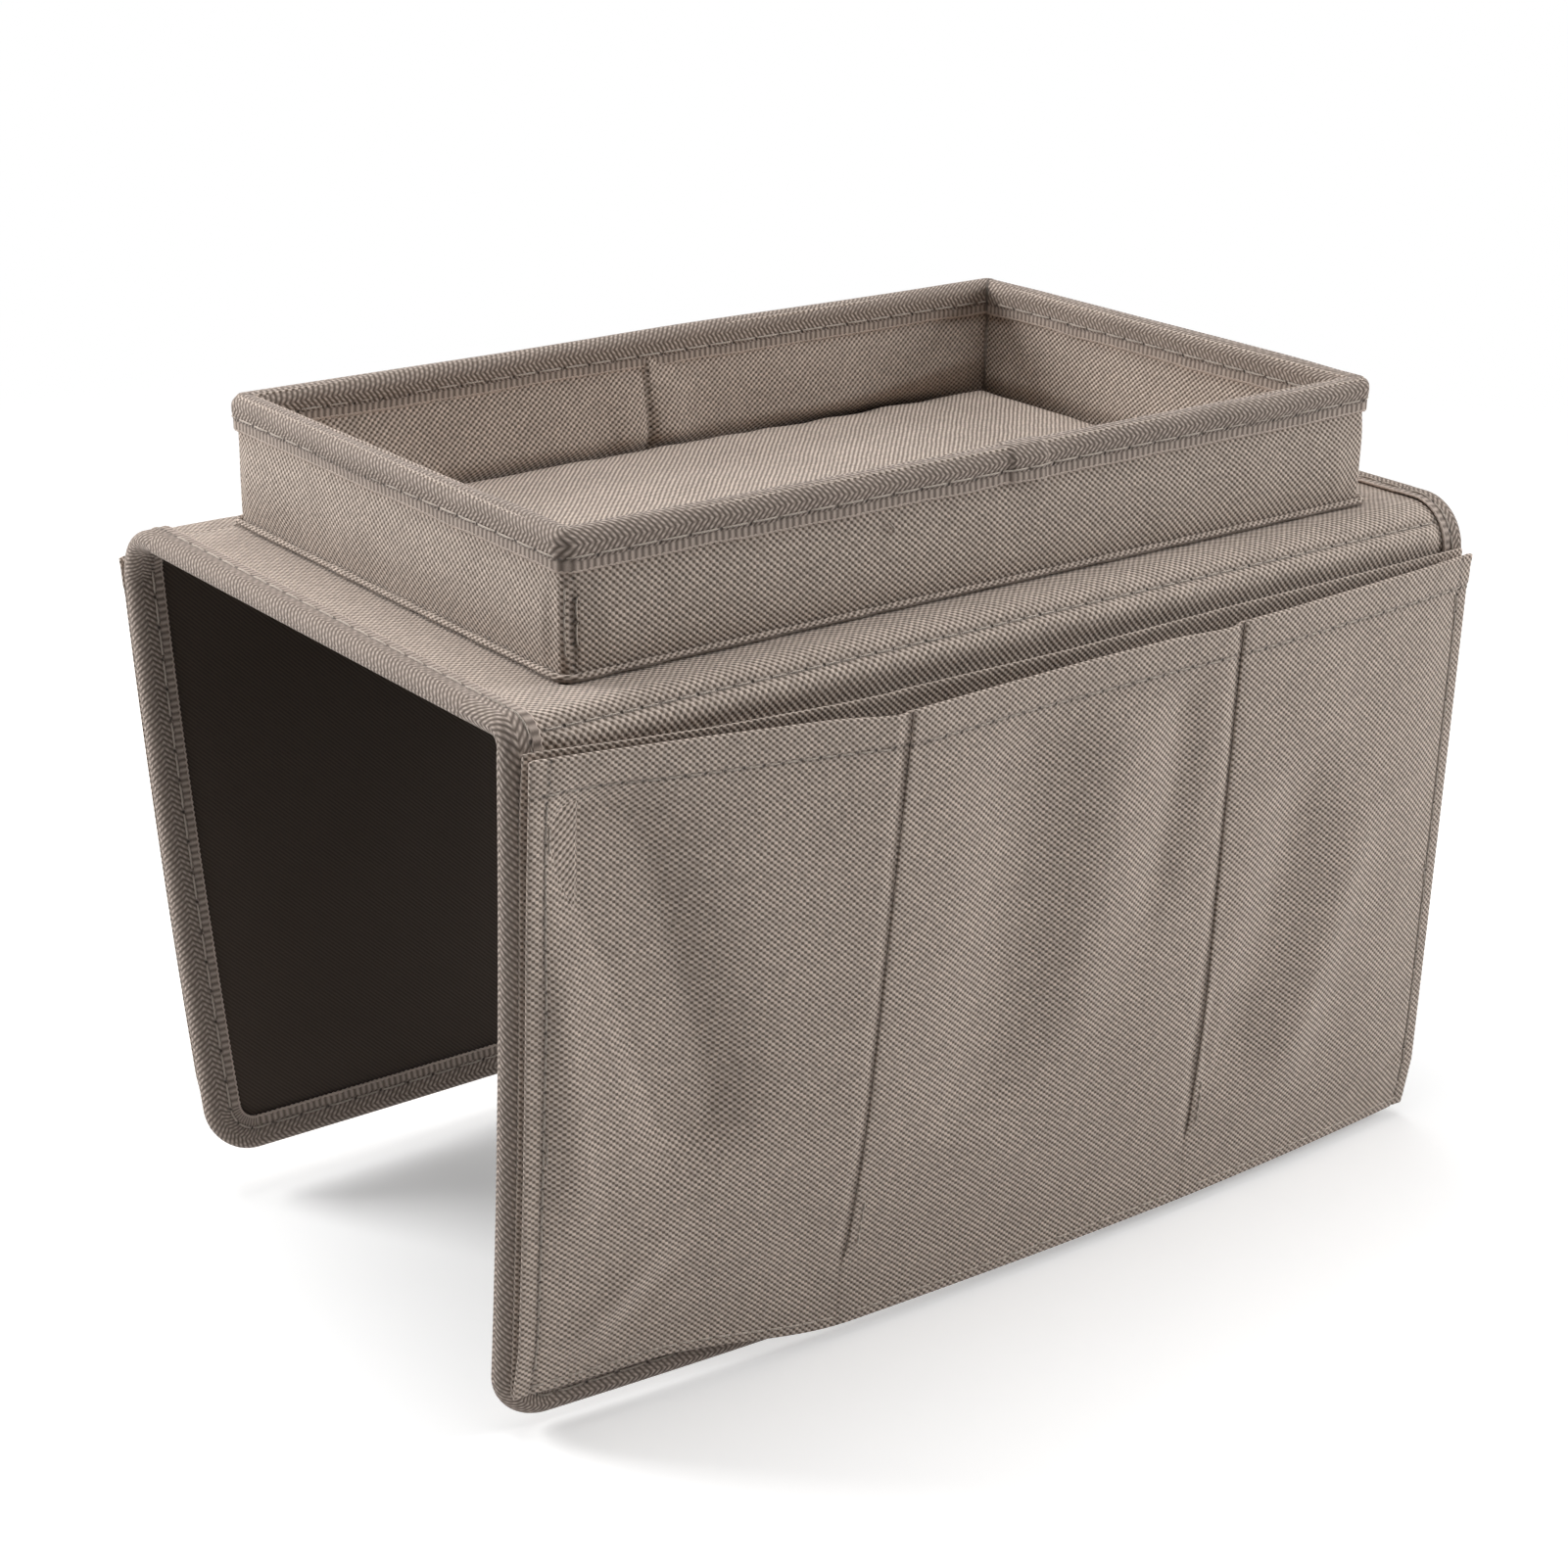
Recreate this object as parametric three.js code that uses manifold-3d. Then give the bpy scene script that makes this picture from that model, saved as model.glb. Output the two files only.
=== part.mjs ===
// Sofa armrest tray: a shallow cloth tray on a stiffened top panel, with a flap of three pockets hanging down
// each side of the arm.
// X runs along the arm, Y across it and Z up. The origin is the centre of the top panel's underside, where it
// lies on the armrest. The front flap is at -Y, the rear flap at +Y. All lengths are in millimetres.

import * as THREE from 'three';
import Module from 'manifold-3d';
import { mergeVertices } from 'three/addons/utils/BufferGeometryUtils.js';

const wasm = await Module();
wasm.setup();

// Cloth, tape and stiffeners
const clothThickness = 0.8;
const linerThickness = 0.6;
const topBoardThickness = 2;
const interliningThickness = 2;
const wallBoardThickness = 2.2;
const trayLiningThickness = 0.7;
const tapeThickness = 0.8;
const tapeWidth = 9.8;
const tapeEdgeRadius = 1.4;
const seatGap = 0.3;
const mergeDistance = 1e-4;

// Top panel
const topLength = 320;
const armWidth = 190;
const boardSideInset = 9;
const linerJog = 1;
const foldRelief = 4;

// Tray
const trayLength = 264.5;
const trayWidth = 162.5;
const trayWallHeight = 35.4;
const trayCornerRadius = 3;
const floorPadThickness = 2.4;
const floorCrown = 2.6;
const floorPadInset = 3;
const floorFlatShare = 0.3;
const floorSlopeShares = [0.55, 0.8, 1];
const weltWidth = 2;
const weltHeight = 2;
const rimLapPlace = -4;
const rimLapLength = 11;
const rimLapThickness = 0.5;

// Flaps
const flapDrop = 186;
const flapCornerRadius = 14;
const interliningInset = 6.5;
const interliningTopInset = 8.5;
const frontLean = 1.5;
const rearLean = 6;

// Pockets
const pocketBackThickness = 0.6;
const pocketClothThickness = 0.7;
const hemThickness = 0.5;
const hemDepth = 10;
const pocketSideInset = 3;
const pocketBackRise = 1;
const gussetTopInset = 1.5;
const pocketBottomInset = 4.5;
const pocketCrown = 9;
const pleatUnderlap = 7;
const gussetDepth = 9;
const gussetThickness = 0.6;
const gussetEndRise = 24;
const mouthDepthShare = 0.33;
const footStartShare = 0.91;
const hemStepShare = 0.004;
const crownSquareness = 3;
const crownFall = 1.6;
const footLevelShare = 0.4;
const footRisePower = 1.5;

// Where the two pleats stand along a flap, at the pocket's mouth and at its foot, seen from outside
const firstPleatMouth = -48;
const firstPleatFoot = -62;
const secondPleatMouth = 66;
const secondPleatFoot = 58;
const pleats = [
  { atMouth: firstPleatMouth, atFoot: firstPleatFoot },
  { atMouth: secondPleatMouth, atFoot: secondPleatFoot },
];

// How each flap hangs: its lean towards the arm in degrees, how far its lower edge then stands out at the
// left, middle and right, how far the pocket front stands off at the mouth and lower down at its two ends,
// how far down its mouth lies at its ends and between the pleats, and how much higher its foot is at its two
// ends. Left and right are as seen from outside.
const frontHang = {
  side: -1,
  lean: frontLean,
  sway: { left: -8, middle: 8, right: 5 },
  standOff: { left: 5.6, right: 3, low: 2.4 },
  mouthDrop: { left: 2.5, middle: 9.8, right: 9.2 },
  footRise: { left: 12, right: 4 },
};
const rearHang = {
  side: 1,
  lean: rearLean,
  sway: { left: -8, middle: -12, right: -14 },
  standOff: { left: 6, right: 6.5, low: 6 },
  mouthDrop: { left: 7, middle: 8.5, right: 6.5 },
  footRise: { left: 4, right: 6 },
};

// How finely bent pieces are divided
const cornerSteps = 4;
const edgeSteps = 3;
const spanSteps = 8;
const dropSteps = 7;
const foldSteps = 6;

// Heights that follow in the top panel, counted up from the armrest
const topBoardBase = linerThickness + seatGap;
const coverBase = topBoardBase + topBoardThickness + seatGap;
const panelThickness = coverBase + clothThickness;

// Depths that follow in a flap, counted outwards from its liner's inner face
const interliningBase = linerThickness + seatGap;
const flapCoverBase = interliningBase + interliningThickness + seatGap;
const flapThickness = flapCoverBase + clothThickness;
const bindingReach = seatGap + tapeThickness;
const linerFlatHalf = topLength / 2 - tapeWidth - seatGap - linerJog;
const pocketBackBase = flapThickness + bindingReach + seatGap;
const pocketBackFace = pocketBackBase + pocketBackThickness;

// Places that follow in the tray
const trayBase = panelThickness + seatGap;
const wallStack = clothThickness + seatGap + wallBoardThickness + seatGap + trayLiningThickness;
const wallTop = trayBase + trayWallHeight;
const halfTray = { x: trayLength / 2, y: trayWidth / 2 };
const boardInset = clothThickness + seatGap;
const liningInset = boardInset + wallBoardThickness + seatGap;

const colours = {
  cloth: 0x96897e,
  tape: 0x857a70,
  liner: 0x2b231e,
  board: 0xb8a98f,
  foam: 0xd9d4c8,
};

function material(colour, roughness) {
  return new THREE.MeshStandardMaterial({ color: colour, roughness, metalness: 0 });
}

const finishes = {
  cloth: () => material(colours.cloth, 0.9),
  tape: () => material(colours.tape, 0.88),
  liner: () => material(colours.liner, 0.85),
  board: () => material(colours.board, 0.8),
  foam: () => material(colours.foam, 0.95),
};

// A closed body from points and triangles, turned so that its faces point out.
function closedBody(points, triangles) {
  let volume = 0;
  for (const [a, b, c] of triangles) {
    volume += points[a].dot(new THREE.Vector3().crossVectors(points[b], points[c]));
  }
  const ordered = volume > 0 ? triangles : triangles.map(([a, b, c]) => [a, c, b]);
  const geometry = new THREE.BufferGeometry();
  geometry.setAttribute('position', new THREE.Float32BufferAttribute(points.flatMap((p) => p.toArray()), 3));
  geometry.setIndex(ordered.flat());
  geometry.computeVertexNormals();
  return geometry;
}

// A sheet with two faces. place(u, v, face) gives the point for column u, row v and face 0 or 1.
function sheet(columns, rows, place) {
  const points = [];
  const triangles = [];
  const index = (i, j, face) => (i * rows.length + j) * 2 + face;
  const quad = (a, b, c, d) => triangles.push([a, b, c], [a, c, d]);
  for (const u of columns) {
    for (const v of rows) {
      points.push(place(u, v, 0), place(u, v, 1));
    }
  }
  const lastColumn = columns.length - 1;
  const lastRow = rows.length - 1;
  for (let i = 0; i < lastColumn; i += 1) {
    for (let j = 0; j < lastRow; j += 1) {
      quad(index(i, j, 0), index(i + 1, j, 0), index(i + 1, j + 1, 0), index(i, j + 1, 0));
      quad(index(i, j, 1), index(i, j + 1, 1), index(i + 1, j + 1, 1), index(i + 1, j, 1));
    }
    quad(index(i, 0, 0), index(i, 0, 1), index(i + 1, 0, 1), index(i + 1, 0, 0));
    quad(index(i, lastRow, 0), index(i + 1, lastRow, 0), index(i + 1, lastRow, 1), index(i, lastRow, 1));
  }
  for (let j = 0; j < lastRow; j += 1) {
    quad(index(0, j, 0), index(0, j + 1, 0), index(0, j + 1, 1), index(0, j, 1));
    quad(
      index(lastColumn, j, 0),
      index(lastColumn, j, 1),
      index(lastColumn, j + 1, 1),
      index(lastColumn, j + 1, 0),
    );
  }
  return closedBody(points, triangles);
}

// A profile carried along stations. place(point, station, index) gives where a profile point lies there.
function sweep(profile, stations, place, loop = false) {
  const points = stations.flatMap((station) => profile.map((point, index) => place(point, station, index)));
  const triangles = [];
  const count = profile.length;
  const spans = loop ? stations.length : stations.length - 1;
  for (let i = 0; i < spans; i += 1) {
    const here = i * count;
    const next = ((i + 1) % stations.length) * count;
    for (let j = 0; j < count; j += 1) {
      const k = (j + 1) % count;
      triangles.push([here + j, here + k, next + k], [here + j, next + k, next + j]);
    }
  }
  if (!loop) {
    const cap = THREE.ShapeUtils.triangulateShape(profile, []);
    const near = 0;
    const far = spans * count;
    const [backward, forward] = THREE.ShapeUtils.isClockWise(profile) ? [far, near] : [near, far];
    for (const [a, b, c] of cap) {
      triangles.push([backward + b, backward + a, backward + c], [forward + a, forward + b, forward + c]);
    }
  }
  return closedBody(points, triangles);
}

function evenSteps(from, to, count) {
  return Array.from({ length: count + 1 }, (_, i) => from + ((to - from) * i) / count);
}

function arc(centreX, centreY, radius, from, to, count) {
  return evenSteps(from, to, count).map(
    (angle) => new THREE.Vector2(centreX + radius * Math.cos(angle), centreY + radius * Math.sin(angle)),
  );
}

// Tape folded over an edge. x is measured across the edge from the middle of what it binds, and y from the
// outside of the fold back over the bound piece.
function tapeProfile(boundThickness, lap = 0) {
  const inner = boundThickness / 2 + seatGap;
  const outer = inner + tapeThickness + lap;
  const innerRadius = tapeEdgeRadius - tapeThickness;
  const turn = Math.PI / 2;
  const outside = [
    new THREE.Vector2(outer, tapeWidth),
    ...arc(outer - tapeEdgeRadius, tapeEdgeRadius, tapeEdgeRadius, 0, -turn, edgeSteps),
    ...arc(tapeEdgeRadius - outer, tapeEdgeRadius, tapeEdgeRadius, -turn, -2 * turn, edgeSteps),
    new THREE.Vector2(-outer, tapeWidth),
  ];
  const inside = [
    new THREE.Vector2(-inner, tapeWidth),
    ...arc(innerRadius - inner, tapeEdgeRadius, innerRadius, -2 * turn, -turn, edgeSteps),
    ...arc(inner - innerRadius, tapeEdgeRadius, innerRadius, -turn, 0, edgeSteps),
    new THREE.Vector2(inner, tapeWidth),
  ];
  return [...outside, ...inside];
}

// A round cornered rectangle, as stations that hold for any offset from it.
function rectangleStations(extra = []) {
  const signs = [[1, 1], [-1, 1], [-1, -1], [1, -1]];
  return signs.flatMap(([signX, signY], corner) => {
    const turns = evenSteps(corner, corner + 1, cornerSteps).map((turn) => ({
      signX, signY, angle: (turn * Math.PI) / 2,
    }));
    return corner === 2 ? [...turns, ...extra] : turns;
  });
}

function rectanglePoint(station, half, radius) {
  if (station.alongFront !== undefined) return [station.alongFront, -half.y];
  return [
    station.signX * (half.x - radius) + radius * Math.cos(station.angle),
    station.signY * (half.y - radius) + radius * Math.sin(station.angle),
  ];
}

function roundedRectangle(half, radius) {
  const outline = rectangleStations().map((station) => {
    const [x, y] = rectanglePoint(station, half, radius);
    return new THREE.Vector2(x, y);
  });
  return new THREE.Shape(outline);
}

// A strip of cloth standing on edge round the tray, its outer face inset from the tray's outside.
function wallStrip(inset, thickness) {
  const outer = { x: halfTray.x - inset, y: halfTray.y - inset };
  const inner = { x: outer.x - thickness, y: outer.y - thickness };
  const outerRadius = Math.max(trayCornerRadius - inset, thickness + seatGap);
  const shape = roundedRectangle(outer, outerRadius);
  shape.holes.push(roundedRectangle(inner, outerRadius - thickness));
  const geometry = new THREE.ExtrudeGeometry(shape, { depth: trayWallHeight, bevelEnabled: false });
  return geometry.translate(0, 0, trayBase);
}

function box(low, high) {
  const size = new THREE.Vector3().subVectors(high, low);
  const middle = new THREE.Vector3().addVectors(low, high).multiplyScalar(0.5);
  return new THREE.BoxGeometry(size.x, size.y, size.z).translate(middle.x, middle.y, middle.z);
}

function centredSlab(halfX, halfY, base, thickness) {
  return box(new THREE.Vector3(-halfX, -halfY, base), new THREE.Vector3(halfX, halfY, base + thickness));
}

function toSolid(geometry) {
  const bare = geometry.clone();
  bare.deleteAttribute('normal');
  bare.deleteAttribute('uv');
  const merged = mergeVertices(bare, mergeDistance);
  return new wasm.Manifold(new wasm.Mesh({
    numProp: 3,
    vertProperties: Float32Array.from(merged.attributes.position.array),
    triVerts: Uint32Array.from(merged.index.array),
  }));
}

// What is left of a body once the cutter has been taken out of it.
function cut(body, cutter) {
  const { vertProperties, triVerts } = toSolid(body).subtract(toSolid(cutter)).getMesh();
  const geometry = new THREE.BufferGeometry();
  geometry.setAttribute('position', new THREE.BufferAttribute(vertProperties, 3));
  geometry.setIndex(new THREE.BufferAttribute(triVerts, 1));
  geometry.computeVertexNormals();
  return geometry;
}

function piece(name, geometry, finish) {
  const mesh = new THREE.Mesh(geometry, finish());
  mesh.name = name;
  return mesh;
}

// The top panel: liner, board and cover, with tape round the two short edges.
function topPanel() {
  const halfX = topLength / 2 - bindingReach;
  const halfY = armWidth / 2;
  const boardHalf = { x: linerFlatHalf - seatGap, y: halfY - boardSideInset };
  return [
    piece('top_liner', topLiner(halfX, halfY - seatGap), finishes.liner),
    piece(
      'top_board',
      centredSlab(boardHalf.x, boardHalf.y, topBoardBase, topBoardThickness),
      finishes.board,
    ),
    piece('top_cover', centredSlab(halfX, halfY, coverBase, clothThickness), finishes.cloth),
    piece('left_end_binding', endBinding(-1), finishes.tape),
    piece('right_end_binding', endBinding(1), finishes.tape),
  ];
}

// Past the board's ends the liner is pressed up, so that the tape under it lies flush with its middle. Along
// the folds it stops short, clear of the flaps, which lean in a little below it.
function topLiner(halfX, halfY) {
  const place = (x, y, face) => {
    const rise = Math.min(1, Math.max(0, (Math.abs(x) - linerFlatHalf) / linerJog)) * bindingReach;
    return new THREE.Vector3(x, y, rise + face * linerThickness);
  };
  const ends = [linerFlatHalf, linerFlatHalf + linerJog, halfX];
  return sheet([...ends.toReversed().map((x) => -x), ...ends], [-halfY, halfY], place);
}

// Near the folds only the upper leg of the tape runs on. Its lower leg stops short, so that the flap can
// swing.
function endBinding(side) {
  const halfY = armWidth / 2;
  const boundThickness = panelThickness - bindingReach;
  const middle = bindingReach + boundThickness / 2;
  const place = (point, y) => new THREE.Vector3(side * (topLength / 2 - point.y), y, middle + point.x);
  const wholeTape = sweep(tapeProfile(boundThickness), [-halfY, halfY], place);
  return [-1, 1].reduce((tape, end) => {
    const from = end * (halfY - foldRelief);
    const to = end * (halfY + foldRelief);
    const cutter = box(
      new THREE.Vector3(-topLength, Math.min(from, to), -topLength),
      new THREE.Vector3(topLength, Math.max(from, to), coverBase),
    );
    return cut(tape, cutter);
  }, wholeTape);
}

// The cloth that bends round the arm's edge is a quarter ring about the fold axis, thicker where the end
// tapes run over it.
function foldStrip(side) {
  const tapeOuter = panelThickness + bindingReach;
  const end = topLength / 2;
  const stations = [
    { x: -end, outer: tapeOuter },
    { x: -end + tapeWidth, outer: tapeOuter },
    { x: -end + tapeWidth + seatGap, outer: panelThickness },
    { x: end - tapeWidth - seatGap, outer: panelThickness },
    { x: end - tapeWidth, outer: tapeOuter },
    { x: end, outer: tapeOuter },
  ];
  const slack = seatGap / coverBase;
  const turns = evenSteps(slack, Math.PI / 2 - slack, foldSteps);
  const place = (station, turn, face) => {
    const radius = face > 0 ? station.outer : coverBase;
    return new THREE.Vector3(
      station.x,
      side * (armWidth / 2 + radius * Math.cos(turn)),
      radius * Math.sin(turn),
    );
  };
  return sheet(stations, turns, place);
}

// The tray: boards between two strips of cloth, tape over their tops, a padded floor and a welt round the
// foot.
function tray() {
  const innerHalf = {
    x: halfTray.x - liningInset - trayLiningThickness - seatGap,
    y: halfTray.y - liningInset - trayLiningThickness - seatGap,
  };
  return [
    piece('tray_outer_cover', wallStrip(0, clothThickness), finishes.cloth),
    piece('tray_lining', wallStrip(liningInset, trayLiningThickness), finishes.cloth),
    ...wallBoards(),
    piece('tray_rim_binding', rimBinding(), finishes.tape),
    piece('tray_floor_pad', floorPad(innerHalf), finishes.foam),
    piece('tray_floor_cover', floorCover(innerHalf), finishes.cloth),
    piece('tray_base_welt', baseWelt(), finishes.cloth),
  ];
}

// The boards stop short of the corners, where only the cloth goes round.
function wallBoards() {
  const endInset = Math.max(trayCornerRadius, liningInset) + seatGap;
  const outer = { x: halfTray.x - boardInset, y: halfTray.y - boardInset };
  const inner = { x: outer.x - wallBoardThickness, y: outer.y - wallBoardThickness };
  const reach = { x: halfTray.x - endInset, y: halfTray.y - endInset };
  const board = (name, [lowX, lowY], [highX, highY]) => piece(
    name,
    box(new THREE.Vector3(lowX, lowY, trayBase), new THREE.Vector3(highX, highY, wallTop)),
    finishes.board,
  );
  return [
    board('tray_front_wall_board', [-reach.x, -outer.y], [reach.x, -inner.y]),
    board('tray_rear_wall_board', [-reach.x, inner.y], [reach.x, outer.y]),
    board('tray_left_wall_board', [-outer.x, -reach.y], [-inner.x, reach.y]),
    board('tray_right_wall_board', [inner.x, -reach.y], [outer.x, reach.y]),
  ];
}

// Tape over the tops of the walls. Its two ends lap on the front wall, where the tape is thicker.
function rimBinding() {
  const plain = tapeProfile(wallStack);
  const lapped = tapeProfile(wallStack, rimLapThickness);
  const lapStart = rimLapPlace - rimLapLength / 2;
  const lapEnd = rimLapPlace + rimLapLength / 2;
  const stations = rectangleStations([
    { alongFront: lapStart - seatGap, profile: plain },
    { alongFront: lapStart, profile: lapped },
    { alongFront: lapEnd, profile: lapped },
    { alongFront: lapEnd + seatGap, profile: plain },
  ]);
  const middle = wallStack / 2;
  const place = (point, station, index) => {
    const { x: across, y: down } = (station.profile ?? plain)[index];
    const half = { x: halfTray.x - middle + across, y: halfTray.y - middle + across };
    const radius = Math.max(trayCornerRadius - middle + across, seatGap);
    const [x, y] = rectanglePoint(station, half, radius);
    return new THREE.Vector3(x, y, wallTop + bindingReach - down);
  };
  return sweep(plain, stations, place, true);
}

function baseWelt() {
  const profile = [
    new THREE.Vector2(0, 0),
    new THREE.Vector2(weltWidth, 0),
    new THREE.Vector2(weltWidth, weltHeight / 2),
    new THREE.Vector2(weltWidth / 2, weltHeight),
    new THREE.Vector2(0, weltHeight),
  ];
  const place = (point, station) => {
    const out = seatGap + point.x;
    const half = { x: halfTray.x + out, y: halfTray.y + out };
    const [x, y] = rectanglePoint(station, half, trayCornerRadius + out);
    return new THREE.Vector3(x, y, trayBase + point.y);
  };
  return sweep(profile, rectangleStations(), place, true);
}

// How far the pad swells at a place given as shares of its half length and half width. Its middle is flat.
function floorSwell(u, v) {
  const fall = (share) => 1 - Math.max(0, (Math.abs(share) - floorFlatShare) / (1 - floorFlatShare)) ** 2;
  return floorCrown * fall(u) * fall(v);
}

const upperShares = [floorFlatShare, ...floorSlopeShares];
const floorShares = [...upperShares.toReversed().map((share) => -share), ...upperShares];

function floorPad(innerHalf) {
  const half = { x: innerHalf.x - floorPadInset, y: innerHalf.y - floorPadInset };
  const place = (u, v, face) => {
    const top = floorPadThickness + floorSwell(u, v);
    return new THREE.Vector3(u * half.x, v * half.y, trayBase + (face > 0 ? top : 0));
  };
  return sheet(floorShares, floorShares, place);
}

// The floor's cloth starts at the foot of the walls, climbs the pad's edge and lies over it.
function floorCover(innerHalf) {
  const padHalf = { x: innerHalf.x - floorPadInset, y: innerHalf.y - floorPadInset };
  const stations = (half, rim) => [
    { at: -rim, share: null },
    ...floorShares.map((share) => ({ at: share * half, share })),
    { at: rim, share: null },
  ];
  const place = (u, v, face) => {
    const overPad = u.share !== null && v.share !== null;
    const under = overPad ? floorPadThickness + floorSwell(u.share, v.share) + seatGap : 0;
    return new THREE.Vector3(u.at, v.at, trayBase + under + (face > 0 ? clothThickness : 0));
  };
  return sheet(stations(padHalf.x, innerHalf.x), stations(padHalf.y, innerHalf.y), place);
}

// A point of a flap, measured from its fold axis. along runs left to right as seen from outside, drop is how
// far down the flap it lies, and out how far outwards from the liner's inner face.
function flapPoint(hang, along, drop, out) {
  const sway = swayAcross(hang.sway, along) * (drop / flapDrop) ** 2;
  return new THREE.Vector3(-hang.side * along, hang.side * (out + sway), -drop);
}

// The parabola through the sway at the flap's left, middle and right.
function swayAcross(sway, along) {
  const share = along / (topLength / 2);
  const tilt = (sway.right - sway.left) / 2;
  const bow = (sway.right + sway.left) / 2 - sway.middle;
  return sway.middle + tilt * share + bow * share * share;
}

// A cloth layer of a flap: straight sides, round lower corners.
function flapLayer(hang, inset, top, base, thickness) {
  const halfLength = topLength / 2 - inset;
  const radius = Math.max(flapCornerRadius - inset, seatGap);
  const straight = halfLength - radius;
  const corner = evenSteps(0, Math.PI / 2, cornerSteps).map((angle) => straight + radius * Math.sin(angle));
  const columns = [
    ...corner.toReversed().map((along) => -along),
    ...evenSteps(-straight, straight, spanSteps).slice(1, -1),
    ...corner,
  ];
  const place = (along, share, face) => {
    const past = Math.max(0, Math.abs(along) - straight);
    const rise = radius - Math.sqrt(Math.max(0, radius * radius - past * past));
    const foot = flapDrop - inset - rise;
    return flapPoint(hang, along, top + (foot - top) * share, base + face * thickness);
  };
  return sheet(columns, evenSteps(0, 1, dropSteps), place);
}

// Tape down one side of the flap, round both lower corners and up the other side. Near the fold its inner leg
// is cut away, as the end tape's lower leg is.
function flapBinding(hang) {
  const half = topLength / 2;
  const sideDrops = [
    seatGap,
    ...evenSteps(foldRelief, flapDrop - flapCornerRadius, dropSteps),
  ];
  const turns = evenSteps(0, Math.PI / 2, cornerSteps + 1).slice(1, -1);
  const span = half - flapCornerRadius;
  const stations = [
    ...sideDrops.map((drop) => ({ end: -1, drop })),
    ...turns.map((angle) => ({ end: -1, angle })),
    ...evenSteps(-span, span, spanSteps).map((along) => ({ along })),
    ...turns.toReversed().map((angle) => ({ end: 1, angle })),
    ...sideDrops.toReversed().map((drop) => ({ end: 1, drop })),
  ];
  const edgePoint = (station, inset) => {
    if (station.along !== undefined) return [station.along, flapDrop - inset];
    if (station.drop !== undefined) return [station.end * (half - inset), station.drop];
    const radius = Math.max(flapCornerRadius - inset, seatGap);
    const centre = half - inset - radius;
    return [
      station.end * (centre + radius * Math.cos(station.angle)),
      flapDrop - inset - radius + radius * Math.sin(station.angle),
    ];
  };
  const place = (point, station) => {
    const [along, drop] = edgePoint(station, point.y);
    return flapPoint(hang, along, drop, flapThickness / 2 + point.x);
  };
  const insideFold = [
    new THREE.Vector3(-topLength, 0, -foldRelief),
    new THREE.Vector3(topLength, -hang.side * topLength, foldRelief),
  ];
  const cutter = new THREE.Box3().setFromPoints(insideFold);
  return cut(sweep(tapeProfile(flapThickness), stations, place), box(cutter.min, cutter.max));
}

// How far down the pocket's foot lies at a place along the flap.
function pocketFoot(hang, along) {
  const share = Math.abs(along) / (topLength / 2);
  const rise = along < 0 ? hang.footRise.left : hang.footRise.right;
  const past = Math.max(0, (share - footLevelShare) / (1 - footLevelShare));
  return flapDrop - pocketBottomInset - rise * past ** footRisePower;
}

// How far down the pocket's mouth lies: level between the pleats, and sloping from there to each end.
function pocketMouth(hang, along) {
  const { left, middle, right } = hang.mouthDrop;
  const end = topLength / 2 - pocketSideInset;
  const toLeft = Math.max(0, (firstPleatMouth - along) / (firstPleatMouth + end));
  const toRight = Math.max(0, (along - secondPleatMouth) / (end - secondPleatMouth));
  return middle + (left - middle) * toLeft + (right - middle) * toRight;
}

function pocketBack(hang) {
  const end = topLength / 2 - pocketSideInset;
  const place = (along, share, face) => {
    const top = pocketMouth(hang, along) - pocketBackRise;
    const drop = THREE.MathUtils.lerp(top, pocketFoot(hang, along), share);
    return flapPoint(hang, along, drop, pocketBackBase + face * pocketBackThickness);
  };
  return sheet(evenSteps(-end, end, spanSteps), evenSteps(0, 1, dropSteps), place);
}

// How far the pocket front stands off the pocket back at one of its two ends, for a share of the way down.
function endStandOff(hang, end, share) {
  const mouth = hang.standOff[end];
  const low = hang.standOff.low;
  const opened = low + Math.max(0, mouth - low) * Math.max(0, 1 - share / mouthDepthShare) ** 2;
  const closing = Math.max(0, (share - footStartShare) / (1 - footStartShare));
  return opened + (seatGap - opened) * closing;
}

const pocketShares = [0, 0.12, 0.25, 0.4, 0.55, 0.7, 0.82, footStartShare, 1];

// One length of the pocket front, from its left edge to its right end. At a pleat its right end goes flat
// under the next length, whose left edge stands just clear of it.
function pocketFront(hang, order) {
  const end = topLength / 2 - pocketSideInset;
  const pleatAt = (index, share) => THREE.MathUtils.lerp(pleats[index].atMouth, pleats[index].atFoot, share);
  const leftAt = (share) => (order === 0 ? -end : pleatAt(order - 1, share));
  const rightAt = (share) => (order === pleats.length ? end : pleatAt(order, share));
  const pleatStandOff = seatGap + pocketClothThickness + hemThickness + seatGap;
  const leftGap = (share) => (order === 0 ? endStandOff(hang, 'left', share) : pleatStandOff);
  const rightGap = (share) => (order === pleats.length ? endStandOff(hang, 'right', share) : seatGap);
  const columns = evenSteps(0, 1, spanSteps).map((across) => ({ across, past: 0 }));
  if (order < pleats.length) columns.push({ across: 1, past: pleatUnderlap });
  const hemShare = hemDepth / (flapDrop - hang.mouthDrop.middle);
  const rows = [
    { share: 0, hem: hemThickness },
    { share: hemShare, hem: hemThickness },
    { share: hemShare + hemStepShare, hem: 0 },
    ...pocketShares.slice(1).map((share) => ({ share, hem: 0 })),
  ];
  const place = ({ across, past }, { share, hem }, face) => {
    const along = THREE.MathUtils.lerp(leftAt(share), rightAt(share), across) + past;
    const drop = THREE.MathUtils.lerp(pocketMouth(hang, along), pocketFoot(hang, along), share);
    const flat = THREE.MathUtils.lerp(leftGap(share), rightGap(share), across);
    const bulge = (1 - Math.abs(2 * across - 1) ** crownSquareness) * (1 - share ** crownFall);
    const standOff = flat + pocketCrown * bulge;
    return flapPoint(hang, along, drop, pocketBackFace + standOff + face * (pocketClothThickness + hem));
  };
  return sheet(columns, rows, place);
}

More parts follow.
